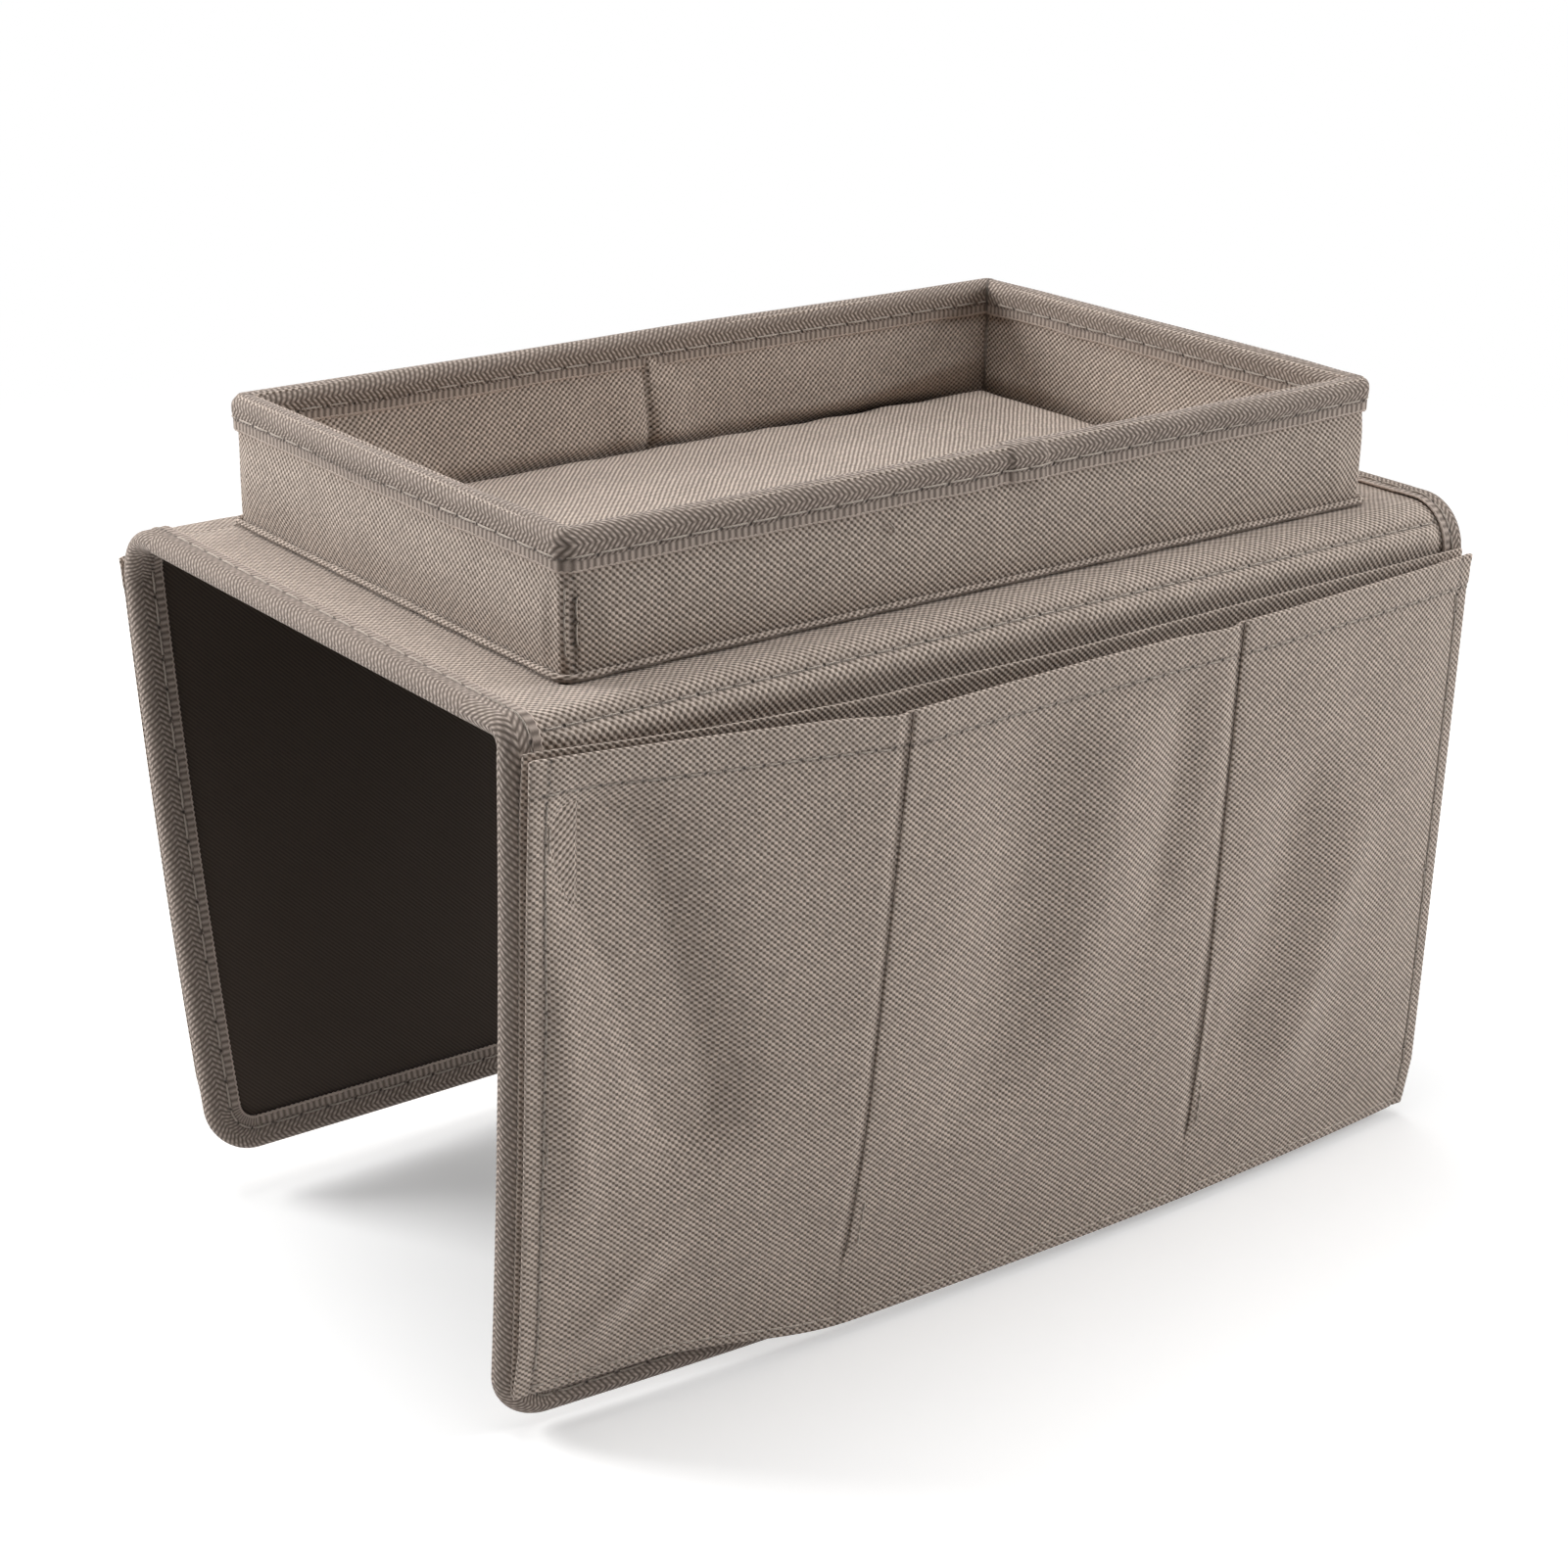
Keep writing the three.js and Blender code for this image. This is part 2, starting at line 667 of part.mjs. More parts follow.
// The folded side wall at one end of the pockets: two plies that meet in an inward crease.
function gusset(hang, end) {
  const sign = end === 'left' ? -1 : 1;
  const edge = topLength / 2 - pocketSideInset;
  const section = (standOff) => {
    const front = standOff - seatGap;
    const middle = (front + seatGap) / 2;
    return [
      new THREE.Vector2(0, front),
      new THREE.Vector2(gussetDepth, middle + gussetThickness / 2),
      new THREE.Vector2(gussetDepth, middle - gussetThickness / 2),
      new THREE.Vector2(0, seatGap),
      new THREE.Vector2(0, seatGap + gussetThickness),
      new THREE.Vector2(gussetDepth - 2 * gussetThickness, middle),
      new THREE.Vector2(0, front - gussetThickness),
    ];
  };
  const mouth = pocketMouth(hang, sign * edge);
  const foot = pocketFoot(hang, sign * edge);
  const lastShare = 1 - gussetEndRise / (foot - mouth);
  const topShare = gussetTopInset / (foot - mouth);
  const between = pocketShares.filter((share) => share > topShare && share < lastShare);
  const stations = [topShare, ...between, lastShare];
  const place = (point, share, index) => {
    const corner = section(endStandOff(hang, end, share))[index];
    const drop = THREE.MathUtils.lerp(mouth, foot, share);
    return flapPoint(hang, sign * (edge - corner.x), drop, pocketBackFace + corner.y);
  };
  return sweep(section(endStandOff(hang, end, 0)), stations, place);
}

// A whole flap hangs in a group that turns about the fold axis.
function flap(prefix, hang) {
  const group = new THREE.Group();
  group.position.set(0, (hang.side * armWidth) / 2, 0);
  group.rotation.x = -hang.side * THREE.MathUtils.degToRad(hang.lean);
  const layer = (name, inset, top, base, thickness, finish) => piece(
    `${prefix}_flap_${name}`,
    flapLayer(hang, inset, top, base, thickness),
    finish,
  );
  group.add(
    layer('liner', bindingReach, seatGap, 0, linerThickness, finishes.liner),
    layer(
      'interlining',
      bindingReach + interliningInset,
      interliningTopInset,
      interliningBase,
      interliningThickness,
      finishes.board,
    ),
    layer('cover', bindingReach, seatGap, flapCoverBase, clothThickness, finishes.cloth),
    piece(`${prefix}_flap_binding`, flapBinding(hang), finishes.tape),
    piece(`${prefix}_pocket_back`, pocketBack(hang), finishes.cloth),
    ...['left', 'middle', 'right'].map(
      (place, order) => piece(`${prefix}_pocket_${place}`, pocketFront(hang, order), finishes.cloth),
    ),
    ...['left', 'right'].map(
      (end) => piece(`${prefix}_pocket_${end}_gusset`, gusset(hang, end), finishes.cloth),
    ),
  );
  return group;
}

const armrestTray = new THREE.Group();
armrestTray.add(
  ...topPanel(),
  ...tray(),
  piece('front_fold_strip', foldStrip(-1), finishes.cloth),
  piece('rear_fold_strip', foldStrip(1), finishes.cloth),
  flap('front', frontHang),
  flap('rear', rearHang),
);

export default armrestTray;
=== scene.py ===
import math

import bpy
import numpy as np
from mathutils import Matrix, Vector


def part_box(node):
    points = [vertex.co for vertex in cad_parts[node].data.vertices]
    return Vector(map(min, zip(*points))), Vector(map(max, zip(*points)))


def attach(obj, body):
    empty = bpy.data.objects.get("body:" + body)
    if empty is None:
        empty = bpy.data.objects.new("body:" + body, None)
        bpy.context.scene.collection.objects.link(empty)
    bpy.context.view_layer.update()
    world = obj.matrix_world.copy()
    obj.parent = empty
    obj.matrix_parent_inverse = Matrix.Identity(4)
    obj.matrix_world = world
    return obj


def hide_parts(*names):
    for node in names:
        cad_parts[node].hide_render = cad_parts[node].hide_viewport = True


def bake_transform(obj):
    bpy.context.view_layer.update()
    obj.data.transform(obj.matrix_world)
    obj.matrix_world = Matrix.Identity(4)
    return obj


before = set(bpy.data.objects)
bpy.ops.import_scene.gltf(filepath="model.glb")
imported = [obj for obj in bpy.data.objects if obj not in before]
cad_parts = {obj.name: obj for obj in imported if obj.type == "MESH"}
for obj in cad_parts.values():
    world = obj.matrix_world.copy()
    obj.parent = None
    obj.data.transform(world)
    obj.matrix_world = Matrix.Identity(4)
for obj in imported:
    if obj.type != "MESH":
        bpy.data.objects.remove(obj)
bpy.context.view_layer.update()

# Sofa armrest tray, dressed for its picture: cloth, tape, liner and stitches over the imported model.
# X runs along the arm, Y across it and Z up. The helpers work in millimetres, and a mesh is turned into
# metres once, when it is made. Along and drop are measured on a flap: along from left to right as seen from
# outside, drop from the fold axis downwards. Height is counted outwards from the face that lies on the arm.
# A seed picks the pattern of soft_noise, and a share runs from 0 to 1.
MM = 0.001
WEAVE_MAP = "weave"

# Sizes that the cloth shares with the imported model
CLOTH = 0.8
LINER = 0.6
TAPE = 0.8
TAPE_WIDTH = 9.8
GAP = 0.3
CLEARANCE = 0.1
SWAY_DROP = 186.0
FLAP_CORNER = 14.0
POCKET_SIDE = 3.0
POCKET_CLOTH = 0.7
POCKET_BACK = 0.6
POCKET_BACK_RISE = 1.0
PLEAT_UNDERLAP = 7.0
HEM_DEPTH = 10.0
HEM_RAISE = 0.45
GUSSET_CREASE = 14.5
GUSSET_ROOT = 7.2
GUSSET_CLOTH = 0.45
GUSSET_END_RISE = 24.0
GUSSET_FLAP_GAP = 0.1
GUSSET_FRONT_GAP = 0.12
GUSSET_SAG = 1.4
TRAY_CORNER = 3.0
WALL_STACK = 4.3
PLEATS = ((-52.3, -62.0), (61.2, 59.0))
LAST = len(PLEATS)
PLEAT_END = 0.88

# The cloth that bends over the arm's edge, measured from the fold axis over the top and down the flap
BEND_TOP = 15.0
BEND_FLAP = 12.0

# The liner inside a flap and the felt behind it: how far they lie from the flap's edges and from its fold
LINER_INSET = 9.6
FELT = 2.0
FELT_INSET = 7.6
FELT_TOP = 8.5

# The upright seams of the tray's cloth, as far along it from the rear right corner
WALL_SEAM = 428.8
LINING_SEAM = 136.0

# Rows of stitches: where they lie on the flat cloth and tape, and how long a stitch is
HEM_SEAM = HEM_DEPTH - 1.4
SIDE_SEAM = 4.5
SHOULDER_SEAM = 0.9
TAPE_SEAM = 2.9
STITCH_PITCH = 5.3
TAPE_PITCH = 8.7
TACK_PITCH = 3.4


def box_mm(node):
    """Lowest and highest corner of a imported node, in millimetres."""
    low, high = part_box(node)
    return np.array(low) / MM, np.array(high) / MM


HALF_LENGTH = box_mm("right_end_binding")[1][0]
HALF_WIDTH = box_mm("top_cover")[1][1]
COVER_TOP = box_mm("top_cover")[1][2]
TAPE_TOP = box_mm("left_end_binding")[1][2]
TRAY_LOW, TRAY_HIGH = box_mm("tray_outer_cover")
LINING_LOW, LINING_HIGH = box_mm("tray_lining")
RIM_TOP = box_mm("tray_rim_binding")[1][2]
BINDING_REACH = TAPE_TOP - COVER_TOP
END_BOUND = TAPE_TOP - 2 * (TAPE + GAP)
FLAP_STRAIGHT = HALF_LENGTH - FLAP_CORNER
REAR_SEAM = HALF_WIDTH - BEND_TOP
POCKET_END = HALF_LENGTH - POCKET_SIDE
POCKET_BACK_BASE = TAPE_TOP + GAP
POCKET_BACK_FACE = POCKET_BACK_BASE + POCKET_BACK

# Folds of the pocket fronts: each one's path as (along, drop), its width and how far it stands out
FRONT_FOLDS = (
    (((-141, 9), (-131, 38), (-120, 71), (-108, 112)), 13.5, -7.6),
    (((-150, 60), (-146, 90), (-143, 124)), 6.0, 2.2),
    (((-12, 22), (-12, 57), (-16, 92), (-22, 128)), 17.0, -3.0),
    (((18, 24), (16, 60), (8, 110)), 12.0, 1.8),
    (((42, 22), (41, 52), (35, 84)), 7.0, -1.8),
    (((92, 60), (82, 104), (70, 142)), 12.0, -2.8),
    (((116, 78), (104, 116), (94, 150)), 9.0, 1.8),
    (((-122, 143), (-144, 165)), 4.5, 1.6),
    (((-116, 150), (-134, 170)), 4.0, -0.9),
    (((153, 162), (141, 168)), 2.5, -0.8),
)
REAR_FOLDS = (
    (((-120, 30), (-112, 80), (-118, 130)), 10.0, 1.3),
    (((-20, 24), (-26, 70), (-34, 120)), 9.0, -1.4),
    (((24, 28), (18, 84), (12, 130)), 11.0, 1.4),
    (((104, 60), (92, 110), (80, 146)), 9.0, -1.4),
    (((128, 40), (120, 96), (108, 150)), 10.0, 1.3),
)

# How each flap hangs. Left and right are as seen from outside. sway is how far its foot stands out at the
# left, middle and right, mouth and low how far the pocket front stands off the back at its two ends, at the
# mouth and below it, and round how round the shoulder is at its left and right and how much rounder past the
# board. mouth_drop says how far down the mouth lies at the left end, the pleats and the right end. length is
# how far down the cloth reaches, and foot how far the pocket's foot lies above that in the middle and how
# much higher at its two ends. swell and low_swell say how far each length swells at its mouth and below,
# settle how soon it does, and proud how far the cloth stands out at a pleat's mouth. back_lift says how far
# the back's upper edge stands off along it.
FRONT = {
    "name": "front", "body": "front_flap", "side": -1, "lean": math.radians(1.5), "seed": 3,
    "sway": (-8.0, 2.0, -1.0), "length": 184.2, "foot": (1.0, 8.6, 0.0), "round": (2.4, 7.8, 1.5),
    "mouth": (4.2, 1.2), "low": 2.4, "mouth_drop": (2.5, 10.0, 9.6, 9.2), "swell": (0.2, 1.0, 1.2),
    "low_swell": (0.8, 3.0, 4.0), "settle": (0.2, 0.3, 0.3), "proud": (6.4, 3.8), "folds": FRONT_FOLDS,
    "back_lift": (
        (-157, 2.0), (-130, 3.6), (-106, 4.2), (-70, 2.8), (-47, 0.7), (5, 1.9), (62, 0.3), (157, 0.0),
    ),
}
REAR = {
    "name": "rear", "body": "rear_flap", "side": 1, "lean": math.radians(6.0), "seed": 11,
    "sway": (-8.0, -14.0, -14.0), "length": 177.0, "foot": (2.0, 3.0, 5.0), "round": (5.0, 7.4, 3.0),
    "mouth": (3.4, 3.4), "low": 3.4, "mouth_drop": (7.0, 8.5, 8.5, 6.5), "swell": (4.0, 3.0, 3.0),
    "low_swell": (4.6, 4.6, 4.6), "settle": (0.3, 0.2, 0.3), "proud": (2.0, 2.0), "folds": REAR_FOLDS,
    "back_lift": ((-157, 2.4), (-110, 3.4), (-47, 1.0), (5, 2.0), (62, 1.0), (110, 3.0), (157, 2.4)),
}

# Camera, world, lamps and floor, in metres
CAMERA_PLACE = Vector((-0.49035, -0.64467, 0.23623))
CAMERA_FORWARD = Vector((0.55912946, 0.74693112, -0.35981682)).normalized()
CAMERA_RIGHT = Vector((0.80215555, -0.59707353, 0.00704802)).normalized()
CAMERA_LENS = 69.81
CAMERA_CLIP = (0.02, 60)
SENSOR = 36.0
WHITE = (1, 1, 1, 1)
WORLD_STRENGTH = 0.03
LAMPS = (
    ("lamp_top", (0.0, 0.3, 1.9), (0, 0, 0), 1.6, 31.0),
    ("lamp_above", (0.1, -0.7, 1.5), (0, 0, 0), 0.9, 3.4),
    ("lamp_left", (-0.75, 0.75, 0.45), (-0.1, 0.1, 0), 0.45, 11.5),
    ("lamp_right", (1.15, -0.66, 0.40), (0.0, -0.1, -0.04), 0.5, 11.2),
)
FLOOR_LEVEL = -0.1875
FLOOR_RADIUS = 14.0
FLOOR_CORNERS = 96
FLOOR_TONE = (0.86, 0.86, 0.86, 1)
FLOOR_NEAR = 0.45
FLOOR_FAR = 1.05
FLOOR_LIFT = 0.32


class Signal:
    """What a node gives out. Sums, differences, products and quotients of signals become nodes as well."""

    def __init__(self, socket):
        self.socket = socket
        self.tree = socket.id_data

    def apply(self, operation, *others):
        return signal(self.tree, "ShaderNodeMath", dict(enumerate((self, *others))), operation=operation)

    def __add__(self, other):
        return self.apply("ADD", other)

    def __sub__(self, other):
        return self.apply("SUBTRACT", other)

    def __mul__(self, other):
        return self.apply("MULTIPLY", other)

    def __truediv__(self, other):
        return self.apply("DIVIDE", other)


def feed(made, inputs):
    """Puts numbers, colours or signals on the inputs of a node."""
    for key, value in inputs.items():
        if isinstance(value, Signal):
            value.tree.links.new(value.socket, made.inputs[key])
        else:
            made.inputs[key].default_value = value


def add_node(tree, kind, inputs, **settings):
    made = tree.nodes.new(kind)
    for key, value in settings.items():
        setattr(made, key, value)
    feed(made, inputs)
    return made


def signal(tree, kind, inputs, output=0, **settings):
    """The signal that a new node gives out."""
    return Signal(add_node(tree, kind, inputs, **settings).outputs[output])


def smooth_step(value, low, high, start=0.0, end=1.0):
    """Runs smoothly from start at the low value to end at the high one."""
    inputs = {"Value": value, "From Min": low, "From Max": high, "To Min": start, "To Max": end}
    return signal(value.tree, "ShaderNodeMapRange", inputs, interpolation_type="SMOOTHSTEP")


def direct_view(tree):
    """1 for rays that show the background as it is: seen directly, in a reflection or through glass."""
    path = add_node(tree, "ShaderNodeLightPath", {})
    kinds = ("Camera", "Glossy", "Transmission")
    seen, mirrored, through = (Signal(path.outputs[f"Is {kind} Ray"]) for kind in kinds)
    return (seen + mirrored + through).apply("MINIMUM", 1.0)


def add_object(name, data):
    made = bpy.data.objects.new(name, data)
    bpy.context.scene.collection.objects.link(made)
    return made


def make_camera():
    data = bpy.data.cameras.new("camera")
    data.lens = CAMERA_LENS
    data.sensor_width = SENSOR
    data.sensor_fit = "HORIZONTAL"
    data.clip_start, data.clip_end = CAMERA_CLIP
    camera = add_object("camera", data)
    up = CAMERA_RIGHT.cross(CAMERA_FORWARD).normalized()
    axes = Matrix((CAMERA_RIGHT, up, -CAMERA_FORWARD)).transposed()
    camera.matrix_world = Matrix.Translation(CAMERA_PLACE) @ axes.to_4x4()
    bpy.context.scene.camera = camera


def make_world():
    world = bpy.data.worlds.new("world")
    bpy.context.scene.world = world
    world.use_nodes = True
    tree = world.node_tree
    tree.nodes.clear()
    dim, white = (
        signal(tree, "ShaderNodeBackground", {"Color": WHITE, "Strength": strength})
        for strength in (WORLD_STRENGTH, 1.0)
    )
    mixed = signal(tree, "ShaderNodeMixShader", {0: direct_view(tree), 1: dim, 2: white})
    add_node(tree, "ShaderNodeOutputWorld", {0: mixed})


def make_lamp(name, place, target, size, power):
    data = bpy.data.lights.new(name, "AREA")
    data.shape = "RECTANGLE"
    data.size = data.size_y = size
    data.energy = power
    lamp = add_object(name, data)
    lamp.location = Vector(place)
    lamp.rotation_mode = "QUATERNION"
    lamp.rotation_quaternion = (Vector(target) - Vector(place)).to_track_quat("-Z", "Y")


def make_floor():
    """A pale floor that takes the shadow near the object and turns plain white further out."""
    turns = np.arange(FLOOR_CORNERS) * 2 * math.pi / FLOOR_CORNERS
    ring = [(FLOOR_RADIUS * math.cos(t), FLOOR_RADIUS * math.sin(t), FLOOR_LEVEL) for t in turns]
    mesh = bpy.data.meshes.new("floor")
    mesh.from_pydata(ring, [], [list(range(FLOOR_CORNERS))])
    material = bpy.data.materials.new("floor")
    material.use_nodes = True
    tree = material.node_tree
    tree.nodes.clear()
    place = signal(tree, "ShaderNodeTexCoord", {}, "Object")
    away = signal(tree, "ShaderNodeVectorMath", {0: place}, "Value", operation="LENGTH")
    far = smooth_step(away, FLOOR_NEAR, FLOOR_FAR)
    lit = signal(tree, "ShaderNodeBsdfDiffuse", {"Color": FLOOR_TONE})
    lift = signal(tree, "ShaderNodeEmission", {"Strength": direct_view(tree) * FLOOR_LIFT})
    near = signal(tree, "ShaderNodeAddShader", {0: lit, 1: lift})
    white = signal(tree, "ShaderNodeEmission", {"Color": WHITE})
    mixed = signal(tree, "ShaderNodeMixShader", {0: far * direct_view(tree), 1: near, 2: white})
    add_node(tree, "ShaderNodeOutputMaterial", {0: mixed})
    mesh.materials.append(material)
    add_object("floor", mesh)


# Materials
SPECULAR = 0.25
SHEEN_ROUGHNESS = 0.5

# Where a row of stitches presses the cloth in and where a needle hole ends, in millimetres from the row, how
# much painted shade darkens the groove and the holes, and how far the holes lower the cloth
GROOVE = (0.2, 1.3)
NEEDLE_HOLE = (0.2, 0.6)
GROOVE_PAINTED_SHADE = 0.2
HOLE_PAINTED_SHADE = 0.6
HOLE_DEPTH = 0.8


def new_material(name, roughness, sheen=0.0):
    """A material, and the shader that it ends in."""
    material = bpy.data.materials.new(name)
    material.use_nodes = True
    shader = material.node_tree.nodes["Principled BSDF"]
    feed(shader, {
        "Roughness": roughness, "Specular IOR Level": SPECULAR,
        "Sheen Weight": sheen, "Sheen Roughness": SHEEN_ROUGHNESS,
    })
    return material, shader


def coat(shader, colour, height, depth):
    """Gives a shader its colour and the relief of its surface, whose depth is in metres."""
    bump = signal(colour.tree, "ShaderNodeBump", {"Strength": 1.0, "Distance": depth, "Height": height})
    feed(shader, {"Base Color": colour, "Normal": bump})


def cloth_place(shader):
    return signal(shader.id_data, "ShaderNodeUVMap", {}, uv_map=WEAVE_MAP)


def noise(place, scale, detail, output="Fac"):
    inputs = {"Vector": place, "Scale": scale, "Detail": detail}
    return signal(place.tree, "ShaderNodeTexNoise", inputs, output)


def toned(share, light, dark):
    inputs = {"Factor": share, 6: (*dark, 1), 7: (*light, 1)}
    return signal(share.tree, "ShaderNodeMix", inputs, 2, data_type="RGBA")


def scaled(vector, factor):
    return signal(vector.tree, "ShaderNodeVectorMath", {0: vector, "Scale": factor}, operation="SCALE")


def wobbled(place, scale, reach):
    """The flat place, shifted a little so that threads don't run dead straight."""
    inputs = {0: noise(place, scale, 1.0, "Color"), 1: (0.5, 0.5, 0.5)}
    shift = signal(place.tree, "ShaderNodeVectorMath", inputs, operation="SUBTRACT")
    return signal(place.tree, "ShaderNodeVectorMath", {0: place, 1: scaled(shift, reach)}, operation="ADD")


def split(place):
    parts = add_node(place.tree, "ShaderNodeSeparateXYZ", {0: place})
    return Signal(parts.outputs[0]), Signal(parts.outputs[1])


def wave(value, turns):
    """Swings from 1 to -1 and back, turns times for each step of the value."""
    return (value * (2 * math.pi * turns)).apply("COSINE")


def ribs(value, turns=1.0):
    """A wave that runs from 0 to 1."""
    return wave(value, turns) * 0.5 + 0.5


def fade(value, low, high):
    """1 below the low distance and 0 beyond the high one, both in millimetres."""
    return smooth_step(value, low * MM, high * MM, 1.0, 0.0)


def seam_marks(along, beside, line, pitch):
    """How far a row of stitches presses the cloth in, and its needle holes: masks for their painted shade and
    their depth.
    """
    away = (beside - line * MM).apply("ABSOLUTE")
    turn = (along * (1 / (pitch * MM)) + 0.5).apply("FRACT")
    step = (turn - 0.5) * (pitch * MM)
    distance = (step * step + away * away).apply("SQRT")
    return fade(away, *GROOVE), fade(distance, *NEEDLE_HOLE)


def sew(shade, height, marks):
    """Paints shade into the groove along each row of stitches and into its needle holes, and lowers the cloth
    in the holes.
    """
    for groove, hole in marks:
        shade = shade * (groove * -GROOVE_PAINTED_SHADE + 1.0) * (hole * -HOLE_PAINTED_SHADE + 1.0)
        height = height + hole * -HOLE_DEPTH
    return shade, height


# The weave: the width and height of a thread's cell in millimetres, how its threads slant, and how much each
# thread, its fibres and wide patches change the shade
WEAVE_CELL = (0.98, 0.83)
FLOOR_CELL = (0.86, 0.97)
WEAVE_SLANT = 0.05
WEAVE_DARK_TO = 0.12
WEAVE_LIGHT_FROM = 0.82
WEAVE_SHADE = {"base": 0.66, "thread": 0.28, "fibres": 0.24, "patches": 0.16}
WEAVE_FIBRE_RELIEF = 0.35
# The threads' own colour, and that of the gaps between them, which is painted shade; the cloth turns from one
# to the other between the two levels of its relief above.
CLOTH_LIGHT = (0.625, 0.522, 0.452)
CLOTH_SHADED_GAP = (0.150, 0.115, 0.088)


def woven(name, cell=WEAVE_CELL, rows=(), columns=(), sides=()):
    """Plain woven cloth: staggered light threads with painted shade in the dark gaps between, each thread a
    little different. rows and columns are the places of the seams along and down it, sides those of seams down
    both its ends."""
    material, shader = new_material(name, roughness=0.9, sheen=0.12)
    place = cloth_place(shader)
    across, down = split(wobbled(place, scale=130.0, reach=0.0005))
    column, row = across / (cell[0] * MM), down / (cell[1] * MM)
    height = wave(column - row, 0.5) * (0.25 + WEAVE_SLANT) + 0.5
    height = height + wave(column + row, 0.5) * (0.25 - WEAVE_SLANT)
    cell_place = signal(place.tree, "ShaderNodeCombineXYZ", {0: column.apply("ROUND"), 1: row.apply("ROUND")})
    thread = signal(
        place.tree, "ShaderNodeTexWhiteNoise", {"Vector": cell_place}, "Value", noise_dimensions="2D"
    )
    fibres = noise(place, scale=2600.0, detail=2.0)
    patches = noise(place, scale=55.0, detail=3.0)
    shade = thread * WEAVE_SHADE["thread"] + WEAVE_SHADE["base"]
    shade = shade + fibres * WEAVE_SHADE["fibres"] + patches * WEAVE_SHADE["patches"]
    raised = fibres * WEAVE_FIBRE_RELIEF + height
    flat_across, flat_down = split(place)
    from_middle = flat_across.apply("ABSOLUTE")
    marks = [seam_marks(flat_across, flat_down, line, STITCH_PITCH) for line in rows]
    marks += [seam_marks(flat_down, flat_across, line, STITCH_PITCH) for line in columns]
    marks += [seam_marks(flat_down, from_middle, line, STITCH_PITCH) for line in sides]
    # The rows of stitches add painted shade in their grooves and needle holes.
    shade, raised = sew(shade, raised, marks)
    # The colour darkens where the weave's relief is low: painted shade between the threads.
    colour = toned(smooth_step(height, WEAVE_DARK_TO, WEAVE_LIGHT_FROM), CLOTH_LIGHT, CLOTH_SHADED_GAP)
    coat(shader, scaled(colour, shade), raised, depth=0.00026)
    return material


# The tape, in millimetres from its nearer edge: slanting ribs that meet along a line and are beaded, and at
# the very edge a ladder of threads
RIB_MEET = 6.0
RIB_SLOPE = 0.8
RIB_PITCH = 1.6
BEAD_PITCH = 1.5
BEAD_DEPTH = 0.28
LADDER_PITCH = 1.9
LADDER_DEPTH = 0.34
LADDER_BASE = 0.46
LADDER_EDGE = (0.1, 0.3)
LADDER_END = (2.1, 2.5)
TAPE_SHADE = {"base": 0.72, "fibres": 0.34, "patches": 0.24}
TAPE_FIBRE_RELIEF = 0.3


def taped(name, light, dark):
    """Woven tape: slanting ribs that meet along its middle, and past the seam a ladder of threads."""
    material, shader = new_material(name, roughness=0.88, sheen=0.1)
    place = cloth_place(shader)
    run, tip = split(wobbled(place, scale=160.0, reach=0.0003))
    spread = (tip - RIB_MEET * MM).apply("ABSOLUTE")
    slanted = (spread * RIB_SLOPE + run) / (RIB_PITCH * MM)
    bead = wave(tip, 1 / (BEAD_PITCH * MM)) * wave(slanted.apply("ROUND"), 0.5)
    beaded = ribs(slanted) * (bead * BEAD_DEPTH + (1 - BEAD_DEPTH))
    bars = wave(run, 1 / (LADDER_PITCH * MM)) * LADDER_DEPTH + LADDER_BASE
    ladder = bars.apply("MAXIMUM", fade(tip, *LADDER_EDGE))
    height = fade(tip, *LADDER_END) * (ladder - beaded) + beaded
    fibres = noise(place, scale=2400.0, detail=2.0)
    patches = noise(place, scale=70.0, detail=2.0)
    shade = fibres * TAPE_SHADE["fibres"] + patches * TAPE_SHADE["patches"] + TAPE_SHADE["base"]
    flat_run, flat_tip = split(place)
    marks = [seam_marks(flat_run, flat_tip, TAPE_SEAM, TAPE_PITCH)]
    # Its row of stitches adds painted shade in its groove and needle holes.
    shade, raised = sew(shade, fibres * TAPE_FIBRE_RELIEF + height, marks)
    # The colour darkens where the ribs, beads and ladder are low: painted shade in their grooves.
    coat(shader, scaled(toned(height, light, dark), shade), raised, depth=0.00024)
    return material


TWILL_PITCH = 1.3
THREAD_TWIST = 0.9


def lined(name, light, dark):
    """Dark liner cloth with the fine slanting lines of a twill."""
    material, shader = new_material(name, roughness=0.8, sheen=0.15)
    place = cloth_place(shader)
    across, down = split(place)
    height = ribs(across + down, 1 / (TWILL_PITCH * MM))
    shown = noise(place, scale=1800.0, detail=2.0) * 0.5 + height * 0.75
    # The tone varies at random and darkens in the twill's grooves, which is painted shade.
    coat(shader, toned(shown, light, dark), height, depth=0.00005)
    return material


def threaded(name, light, dark):
    """Sewing thread: two plies twisted round each other."""
    material, shader = new_material(name, roughness=0.6, sheen=0.1)
    along, around = split(cloth_place(shader))
    height = ribs(along / (THREAD_TWIST * MM) + around / MM)
    # The colour darkens in the groove between the plies: painted shade.
    coat(shader, toned(height, light, dark), height, depth=0.00008)
    return material


def pressed(name, light, dark, grain, roughness):
    """Board or felt inside the cloth: speckled and slightly rough."""
    material, shader = new_material(name, roughness)
    place = signal(shader.id_data, "ShaderNodeTexCoord", {}, "Object")
    fine = noise(place, grain, detail=4.0)
    speckles = fine * 0.7 + noise(place, grain / 12, detail=3.0) * 0.3
    coat(shader, toned(speckles, light, dark), fine, depth=0.0002)
    return material


